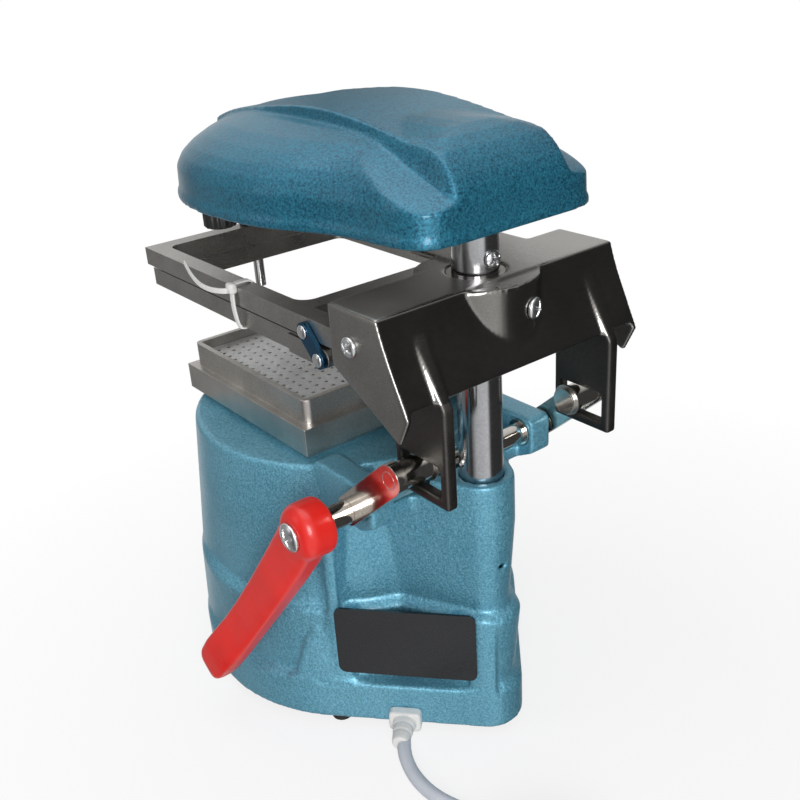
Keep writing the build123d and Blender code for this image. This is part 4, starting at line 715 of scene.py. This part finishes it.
def fastener_head(recess, sides=72, rows=26):
    """Head of unit radius and height on a short shank, with a pressed cross of this half length."""
    arm_half, arm_slope, end_slope, depth = 0.13, 0.04, 0.22, 0.62
    end_reach = recess * 1.35
    flank, crown = 0.3, 0.7
    rings = []
    for level, radius in ((-1.2, 0.45), (0.0, 0.45), (0.0, 0.93), (0.08, 1.0)):
        rings.append([Vector((radius * math.cos(a), radius * math.sin(a), level)) for a in around(sides)])
    for row in range(1, rows):
        share = 1 - row / rows
        ring = []
        for a in around(sides):
            x, y = share * math.cos(a), share * math.sin(a)
            level = flank + crown * (1 - share ** 2.6) ** 0.7
            if recess > 0:
                wall = min(1.0, max(0.0, (arm_half - min(abs(x), abs(y))) / arm_slope))
                slope = min(1.0, max(0.0, (end_reach - max(abs(x), abs(y))) / end_slope))
                level -= depth * wall * slope
            ring.append(Vector((x, y, level)))
        rings.append(ring)
    return skin_mesh("fastener_head", rings)


def seats_mesh(heads):
    """One point for each seat, with the way its head faces and its size."""
    mesh = bpy.data.meshes.new("seats")
    mesh.from_pydata([millimetres(seat) for _, _, seat, _, _, _ in heads], [], [])
    facing = mesh.attributes.new("facing", "FLOAT_VECTOR", "POINT")
    size = mesh.attributes.new("size", "FLOAT_VECTOR", "POINT")
    for i, (_, _, _, way, radius, height) in enumerate(heads):
        facing.data[i].vector = way
        size.data[i].vector = (radius * MM, radius * MM, height * MM)
    return mesh


def fastener_tree():
    """Puts a head on every seat, turned by a fixed seed."""
    tree, given, sockets = nodes_tree("fasteners", [
        ("Head", "NodeSocketObject", None),
        ("Turn seed", "NodeSocketInt", 1),
        ("Material", "NodeSocketMaterial", None),
    ])
    stored = {}
    for name in ("facing", "size"):
        attribute = add_node(tree, "GeometryNodeInputNamedAttribute", {"Name": name}, data_type="FLOAT_VECTOR")
        stored[name] = attribute.outputs["Attribute"]
    head = add_node(tree, "GeometryNodeObjectInfo", {"Object": given["Head"]}).outputs["Geometry"]
    face = output_of(tree, "FunctionNodeAlignRotationToVector", {"Vector": stored["facing"]}, axis="Z")
    chance = add_node(tree, "FunctionNodeRandomValue", {"Seed": given["Turn seed"]}, data_type="FLOAT")
    chance.inputs[3].default_value = math.tau / 4
    spin = output_of(tree, "FunctionNodeAxisAngleToRotation", {"Axis": (0.0, 0.0, 1.0), "Angle": chance.outputs[1]})
    turn = {"Rotation": face, "Rotate By": spin}
    points = output_of(tree, "GeometryNodeMeshToPoints", {"Mesh": given["Geometry"]})
    heads = output_of(tree, "GeometryNodeInstanceOnPoints", {
        "Points": points,
        "Instance": head,
        "Rotation": output_of(tree, "FunctionNodeRotateRotation", turn, rotation_space="LOCAL"),
        "Scale": stored["size"],
    })
    close_tree(tree, given, heads)
    return tree, sockets


# --- operators
class FORMER_OT_stage(bpy.types.Operator):
    """Camera, pale floor, white surround and plain studio lamps"""

    bl_idname = "former.stage"
    bl_label = "Stage"

    def execute(self, context):
        scene = context.scene
        camera = bpy.data.cameras.new("view")
        camera.lens = 45.0
        camera.sensor_width = 36.0
        camera.clip_start = 0.01
        scene.camera = link("view", camera)
        scene.camera.matrix_world = Matrix(VIEW)
        self.surround(scene)
        self.tent()
        self.floor()
        for settings in LAMPS:
            self.lamp(*settings)
        scene.view_settings.view_transform = "Standard"
        return {"FINISHED"}

    def lamp(self, name, place, target, size, watts):
        """Rectangular lamp that points at a target."""
        light = bpy.data.lights.new(name, "AREA")
        light.shape = "RECTANGLE"
        light.size, light.size_y = size
        light.energy = watts
        lamp = link(name, light)
        lamp.location = place
        lamp.rotation_euler = (Vector(target) - Vector(place)).to_track_quat("-Z", "Y").to_euler()

    def surround(self, scene):
        """White to the camera and to reflections, and dimmer as a light."""
        world = bpy.data.worlds.new("studio")
        scene.world = world
        tree = blank_tree(world)
        path = add_node(tree, "ShaderNodeLightPath")
        seen = path.outputs["Is Camera Ray"]
        for kind in ("Is Glossy Ray", "Is Transmission Ray"):
            seen = calculated(tree, "MAXIMUM", seen, path.outputs[kind])
        wanted = {"Color": WHITE, "Strength": blend_values(tree, SKY_AS_LIGHT, 1.0, seen)}
        add_node(tree, "ShaderNodeOutputWorld", {0: output_of(tree, "ShaderNodeBackground", wanted)})

    def tent(self):
        """Grey tent with pale strips, which only reflections see."""
        bm = bmesh.new()
        bmesh.ops.create_uvsphere(bm, u_segments=64, v_segments=32, radius=TENT_R)
        tent = link("tent", new_mesh("tent", bm))
        for kind in ("camera", "diffuse", "transmission", "shadow", "volume_scatter"):
            setattr(tent, "visible_" + kind, False)
        material, tree = blank_material("tent_cloth")
        place = add_node(tree, "ShaderNodeTexCoord").outputs["Object"]
        height = add_node(tree, "ShaderNodeSeparateXYZ", {0: place}).outputs["Z"]
        turn = add_node(tree, "ShaderNodeTexGradient", {0: place}, gradient_type="RADIAL").outputs["Fac"]
        colour = add_node(tree, "ShaderNodeMix", {
            0: span(tree, height, 0.0, 1.0, 0.5 * TENT_R, 0.95 * TENT_R),
            6: ramp(tree, turn, [(share, (level,) * 3) for share, level in TENT_STRIPS]),
            7: WHITE,
        }, data_type="RGBA").outputs[2]
        cloth = output_of(tree, "ShaderNodeEmission", {"Color": colour})
        add_node(tree, "ShaderNodeOutputMaterial", {0: cloth})
        tent.data.materials.append(material)

    def floor(self):
        """Paper floor: it takes the soft shadow near the feet and turns plain white further out."""
        bm = bmesh.new()
        bmesh.ops.create_circle(bm, cap_ends=True, radius=FLOOR_R, segments=128)
        floor = link("floor", new_mesh("floor", bm, smooth=False))
        floor.visible_glossy = False
        material, tree = blank_material("floor_white")
        paper = output_of(tree, "ShaderNodeBsdfDiffuse", {"Color": (0.9, 0.9, 0.9, 1.0)})
        white = output_of(tree, "ShaderNodeEmission")
        path = add_node(tree, "ShaderNodeLightPath")
        place = add_node(tree, "ShaderNodeTexCoord").outputs["Object"]
        far = add_node(tree, "ShaderNodeVectorMath", {0: place}, operation="LENGTH").outputs["Value"]
        white_share = span(tree, far, *FLOOR_WHITE, *FLOOR_FADE)
        share = calculated(tree, "MULTIPLY", path.outputs["Is Camera Ray"], white_share)
        mix = output_of(tree, "ShaderNodeMixShader", {0: share, 1: paper, 2: white})
        add_node(tree, "ShaderNodeOutputMaterial", {0: mix})
        floor.data.materials.append(material)


class FORMER_OT_finishes(bpy.types.Operator):
    """Materials of every carried-over node"""

    bl_idname = "former.finishes"
    bl_label = "Finishes"

    def execute(self, context):
        FINISHES.update(build_finishes(context.scene.former_colours))
        for part in frame["record"]["subparts"]:
            name = part["node"]
            coat(NODES[name].data, SPECIAL_FINISH.get(name, part["material_slot"]))
        return {"FINISHED"}


class FORMER_OT_castings(bpy.types.Operator):
    """Softened castings of the base, the head and the sheet holder"""

    bl_idname = "former.castings"
    bl_label = "Castings"

    def execute(self, context):
        sizes = context.scene.former_sizes
        base = recast("base_shell", "base_casting", sizes.casting_grain, sizes.casting_softness)
        self.cut_ledges(base.data)
        relax(base.data, 1)
        finish_piece(base, "base", "base_paint", "base_casting")
        head = recast("head_shell", "head_cover", sizes.head_grain, 0)
        self.lower_shoulders(head.data)
        relax(head.data, sizes.head_softness)
        finish_piece(head, "head", "head_paint", "head_cover")
        holder = recast("holder_casting", "carrier_casting", sizes.holder_grain, sizes.casting_softness)
        place_piece(holder, "carrier", "nickel", "carrier_casting")
        self.dress_holder(holder.data)
        return {"FINISHED"}

    def cut_ledges(self, mesh):
        """Draws the rear walls in above each ledge, so that the ledge has a sloping top."""
        spots = triples(mesh.vertices, "co") / MM
        flat = triples(mesh.vertices, "normal")[:, :2]
        reach = np.linalg.norm(flat, axis=1)
        outward = flat[:, 0] * spots[:, 0] + flat[:, 1] * (spots[:, 1] - PLATE_Y) > 0
        wall = outward & (reach > 0.6)
        heights, depths = zip(*LEDGES)
        depth = np.interp(spots[:, 2], heights, depths) * np.interp(spots[:, 1], LEDGE_FADE, (0, 1))
        label_depth = spots[:, 0] * LABEL_WAY[0] + spots[:, 1] * LABEL_WAY[1] - LABEL_REACH
        off_label = np.abs(label_depth) > LABEL_CLEAR
        spots[:, :2] -= flat / np.maximum(reach, 0.1)[:, None] * (depth * wall * off_label)[:, None]
        move_vertices(mesh, spots * MM)

    def lower_shoulders(self, mesh):
        """Draws the dome down beside the raised band, more and more towards the rear."""
        spots = triples(mesh.vertices, "co") / MM
        inner = (triples(mesh.vertices, "normal")[:, 2] < 0) & (spots[:, 2] > HEAD_LOW + HEAD_INSIDE)
        beside = np.abs(spots[:, 0]) - BAND_HALF
        places, heights = zip(*SHOULDER)
        cap = np.interp(spots[:, 1], places, heights) - SHOULDER_FALL * np.maximum(beside, 0) - HEAD_WALL * inner
        over = np.maximum(spots[:, 2] - cap + SHOULDER_ROUND, 0)
        drop = over ** 2 / (over + 2 * SHOULDER_ROUND)
        spots[:, 2] -= drop * eased(np.clip(beside / BAND_STEP, 0, 1))
        move_vertices(mesh, spots * MM)

    def dress_holder(self, mesh):
        """Finish by the way each face looks: satin top, grained side cheeks and polished back, the cheeks and back
        also darkened as painted shade, and a near-black yoke as painted shade.
        """
        for finish in ("nickel_polished_painted_shade", "nickel_grained_painted_shade", "nickel", "nickel_painted_shade"):
            mesh.materials.append(FINISHES[finish])
        ways = triples(mesh.polygons, "normal")
        spots = triples(mesh.polygons, "center") / MM
        # painted shade: the back and other faces get the darkest polished copy, side faces a darker grained copy; the
        # top keeps the plain satin
        choice = np.zeros(len(ways), np.int32)
        choice[np.abs(ways[:, 0]) > 0.75] = 1
        choice[ways[:, 2] > 0.9] = 2
        # painted shade: the yoke faces under the holder's top, where shade falls, get the near-black nickel copy
        choice[(np.abs(spots[:, 0]) < YOKE_SHADE_HALF_WIDTH) & (spots[:, 2] < YOKE_SHADE_TOP)] = 3
        mesh.polygons.foreach_set("material_index", choice)


class FORMER_OT_sheet(bpy.types.Operator):
    """Perforated sheet in the vacuum plate"""

    bl_idname = "former.sheet"
    bl_label = "Perforated sheet"

    def execute(self, context):
        sizes = context.scene.former_sizes
        thick = SHEET_THICK * MM
        tile = link("perforated_field", hole_tile(sizes.hole_pitch, sizes.hole_radius))
        tree, sockets = tile_array_tree()
        apply_tree(tile, tree, sockets, {
            "Pitch": sizes.hole_pitch,
            "Rows": sizes.hole_rows,
            "Thickness": thick,
            "Material": FINISHES["bright_aluminium"],
        })
        place = Vector((0, PLATE_Y * MM, SHEET_TOP * MM - thick))
        tile.data.transform(Matrix.Translation(place))
        low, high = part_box("perforated_sheet")
        inner = sizes.hole_pitch * sizes.hole_rows / 2
        outer = (high.x - low.x) / 2
        bm = bmesh.new()
        rows = loft(bm, [
            [place + Vector((sx * half, sy * half, level)) for sx, sy in CORNERS]
            for half, level in ((inner, 0.0), (inner, thick), (outer, thick), (outer, 0.0))
        ], closed_ends=False)
        ring_faces(bm, rows[-1], rows[0])
        border = link("perforated_border", new_mesh("perforated_border", bm, smooth=False))
        for piece in (tile, border):
            finish_piece(piece, "base", "bright_aluminium", "perforated_sheet")
        return {"FINISHED"}


class FORMER_OT_lever(bpy.types.Operator):
    """Red lever: a flat arm that tapers from its hub and is cranked outwards at its tip"""

    bl_idname = "former.lever"
    bl_label = "Lever"

    def execute(self, context):
        root = Vector((LEVER_ROOT_X, *SHAFT))
        way = Vector(LEVER_TIP) - root
        way.x = 0.0
        length = way.length
        way.normalize()
        across = Vector((0, -way.z, way.y))
        arm = []
        for share, x, half_thick, half_wide in LEVER_STATIONS:
            centre = root + way * (length * share)
            centre.x = x
            arm.append([p * MM for p in soft_box(centre, (1, 0, 0), across, half_thick, half_wide)])
        inner, outer, radius = HUB
        profile = [(inner + along, radius - fall) for along, fall in HUB_INNER_ROUND]
        profile += [(outer - along, radius - fall) for along, fall in HUB_OUTER_ROUND]
        hub = [[p * MM for p in ring] for ring in turned(profile, (0, *SHAFT))]
        lever = link("lever_arm", skin_mesh("lever_arm", arm, hub))
        voxel, rounds = FINE_GRAIN["lever_arm"]
        remeshed(lever, voxel * MM, rounds)
        finish_piece(lever, "crank", "red_paint", "lever")
        return {"FINISHED"}


class FORMER_OT_fasteners(bpy.types.Operator):
    """Pressed screw heads and domed rivets, each on its own seat"""

    bl_idname = "former.fasteners"
    bl_label = "Screws and rivets"

    def execute(self, context):
        tree, sockets = fastener_tree()
        for kind, heads, recess in (("screws", HEADS, CROSS), ("rivets", RIVETS, 0.0)):
            pattern = link(kind + "_pattern", fastener_head(recess))
            for body in sorted({head[0] for head in heads}):
                mine = [head for head in heads if head[0] == body]
                piece = link(f"{body}_{kind}", seats_mesh(mine))
                apply_tree(piece, tree, sockets, {
                    "Head": pattern,
                    "Turn seed": len(mine),
                    "Material": FINISHES["screw_bright"],
                })
                coat(piece.data, "screw_bright")
                place_piece(piece, body, "chrome", *sorted({head[1] for head in mine}))
            bpy.data.objects.remove(pattern)
        return {"FINISHED"}


class FORMER_OT_knob(bpy.types.Operator):
    """Ribbed black knob under the edge of the head"""

    bl_idname = "former.knob"
    bl_label = "Head knob"

    def execute(self, context):
        low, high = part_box("swing_knob")
        centre = (low + high) / 2
        rings = []
        for depth, radius, rib in KNOB_SHAPE:
            ring = []
            for turn in around(KNOB_RIBS * 8):
                reach = (radius + rib * math.cos(KNOB_RIBS * turn)) * MM
                x, y = centre.x + reach * math.cos(turn), centre.y + reach * math.sin(turn)
                ring.append(Vector((x, y, high.z - depth * MM)))
            rings.append(ring)
        knob = link("head_knob", skin_mesh("head_knob", rings))
        finish_piece(knob, "head", "black_plastic", "swing_knob")
        return {"FINISHED"}


class FORMER_OT_gland(bpy.types.Operator):
    """White strain relief: a square-shouldered bushing with a tapered, ribbed sleeve"""

    bl_idname = "former.gland"
    bl_label = "Strain relief"

    def execute(self, context):
        out = Vector(GLAND_WAY)
        side = Vector((-out.y, out.x, 0.0))
        up = Vector((0.0, 0.0, 1.0))
        rings = []
        for along, half_wide, half_high, power in GLAND_SHAPE:
            centre = Vector(GLAND_SEAT) + out * along
            ring = []
            for turn in around(48):
                c, s = math.cos(turn), math.sin(turn)
                x = math.copysign(abs(c) ** (2 / power), c) * half_wide
                y = math.copysign(abs(s) ** (2 / power), s) * half_high
                ring.append((centre + side * x + up * y) * MM)
            rings.append(ring)
        gland = link("gland_sleeve", skin_mesh("gland_sleeve", rings))
        voxel, rounds = FINE_GRAIN["gland_sleeve"]
        remeshed(gland, voxel * MM, rounds)
        finish_piece(gland, "base", "white_plastic", "cord_gland")
        return {"FINISHED"}


class FORMER_OT_lead(bpy.types.Operator):
    """Mains lead with its coil, and the plug at its end"""

    bl_idname = "former.lead"
    bl_label = "Mains lead"

    def execute(self, context):
        sizes = context.scene.former_sizes
        points = LEAD_ROUTE + self.turns() + LEAD_TAIL
        curve = bpy.data.curves.new("mains_lead", "CURVE")
        curve.dimensions = "3D"
        curve.bevel_depth = sizes.lead_radius
        curve.bevel_resolution = 6
        curve.use_fill_caps = True
        spline = curve.splines.new("NURBS")
        spline.points.add(len(points) - 1)
        for spot, point in zip(spline.points, points):
            spot.co = (*millimetres(point), 1.0)
        spline.order_u = 3
        spline.use_endpoint_u = True
        spline.resolution_u = 6
        curve.materials.append(FINISHES["cord_grey"])
        lead = link("mains_lead", curve)
        place_piece(lead, "base", "cord_grey", "power_cord", "cord_coil", "cord_tail")
        plug = self.plug()
        return {"FINISHED"}

    def turns(self):
        """Points of the coil's turns, round its centre and clockwise from above."""
        points = []
        for (a0, r0, z0), (a1, r1, z1) in zip(COIL_TURNS, COIL_TURNS[1:]):
            count = max(1, round((a0 - a1) / COIL_STEP))
            for i in range(count):
                share = i / count
                turn = math.radians(a0 + (a1 - a0) * share)
                radius = r0 + (r1 - r0) * eased(share)
                x = COIL_CENTRE[0] + radius * math.cos(turn)
                y = COIL_CENTRE[1] + radius * math.sin(turn)
                points.append((x, y, z0 + (z1 - z0) * eased(share)))
        return points

    def plug(self):
        """Plug with soft edges and bright pins."""
        voxel, rounds = FINE_GRAIN["lead_plug"]
        plug = recast("lead_plug", "mains_plug", voxel * MM, rounds)
        for finish in ("cord_grey", "chrome"):
            plug.data.materials.append(FINISHES[finish])
        end = Vector(LEAD_TAIL[-1])
        way = (end - Vector(PLUG_FROM)).normalized()
        along = (triples(plug.data.polygons, "center") / MM - np.array(end)) @ np.array(way)
        plug.data.polygons.foreach_set("material_index", (along > PIN_START).astype(np.int32))
        return place_piece(plug, "base", "cord_grey", "mains_plug")


class FORMER_OT_tie(bpy.types.Operator):
    """Nylon tie round both frames"""

    bl_idname = "former.tie"
    bl_label = "Nylon tie"

    def execute(self, context):
        y = TIE_Y
        half = context.scene.former_sizes.tie_width / 2
        loop = [millimetres((x, y, z)) for x, z in TIE_LOOP]
        tail = [millimetres(point) for point in TIE_TAIL]
        strap = link("tie_loop", self.strap(loop, Vector((0, 1, 0)), half, closed=True))
        loose = link("tie_tail", self.strap(tail, Vector((0, 0, 1)), half * 0.8, closed=False))
        head = link("tie_head", self.lock(y))
        for piece in (strap, loose, head):
            piece.data.materials.append(FINISHES["white_plastic"])
        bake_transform(strap)
        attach(loose, "carrier")
        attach(head, "carrier")
        return {"FINISHED"}

    def strap(self, points, flat, half, closed):
        """Flat strap along points: flat is the direction of its width."""
        rings = []
        count = len(points)
        for i, point in enumerate(points):
            before = points[i - 1] if closed or i > 0 else point
            after = points[(i + 1) % count] if closed or i < count - 1 else point
            run = (after - before).normalized()
            out = run.cross(flat).normalized()
            wide = out.cross(run).normalized()
            rings.append([point + wide * (half * sw) + out * (TIE_THICK * MM / 2 * so) for sw, so in CORNERS])
        bm = bmesh.new()
        rows = loft(bm, rings, closed_ends=not closed)
        if closed:
            ring_faces(bm, rows[-1], rows[0])
        piece = link("strap", new_mesh("strap", bm))
        edges = piece.modifiers.new("edges", "BEVEL")
        edges.width = 0.25 * MM
        edges.segments = 1
        smooth = piece.modifiers.new("smooth", "SUBSURF")
        smooth.levels = smooth.render_levels = 2
        mesh = baked(piece).data
        bpy.data.objects.remove(piece)
        return mesh

    def lock(self, y):
        """Lock of the tie: a small box with soft edges."""
        rings = []
        for x, share in TIE_LOCK:
            centre = Vector((x, y, TIE_LOCK_Z))
            half_wide, half_high = (half * share for half in TIE_LOCK_HALF)
            rings.append([p * MM for p in soft_box(centre, (0, 1, 0), (0, 0, 1), half_wide, half_high, 5.0, 24)])
        return skin_mesh("tie_head", rings)


# --- panel and registration
STEPS = ("stage", "finishes", "castings", "sheet", "lever", "fasteners", "knob", "lead", "gland", "tie")


class FORMER_PT_panel(bpy.types.Panel):
    """Operators and settings of the vacuum former"""

    bl_idname = "FORMER_PT_panel"
    bl_label = "Vacuum former"
    bl_space_type = "VIEW_3D"
    bl_region_type = "UI"
    bl_category = "Vacuum former"

    def draw(self, context):
        layout = self.layout
        for step in STEPS:
            layout.operator("former." + step)
        for settings in (context.scene.former_sizes, context.scene.former_colours):
            box = layout.box()
            for name in settings.__annotations__:
                box.prop(settings, name)


CLASSES = (
    FormerSizes, FormerColours, FORMER_OT_stage, FORMER_OT_finishes, FORMER_OT_castings, FORMER_OT_sheet,
    FORMER_OT_lever, FORMER_OT_fasteners, FORMER_OT_knob, FORMER_OT_lead, FORMER_OT_gland, FORMER_OT_tie,
    FORMER_PT_panel,
)


def register():
    for item in CLASSES:
        bpy.utils.register_class(item)
    bpy.types.Scene.former_sizes = bpy.props.PointerProperty(type=FormerSizes)
    bpy.types.Scene.former_colours = bpy.props.PointerProperty(type=FormerColours)


def unregister():
    del bpy.types.Scene.former_colours
    del bpy.types.Scene.former_sizes
    for item in reversed(CLASSES):
        bpy.utils.unregister_class(item)


def main():
    register()
    for step in STEPS:
        getattr(bpy.ops.former, step)()


if __name__ == "__main__":
    main()
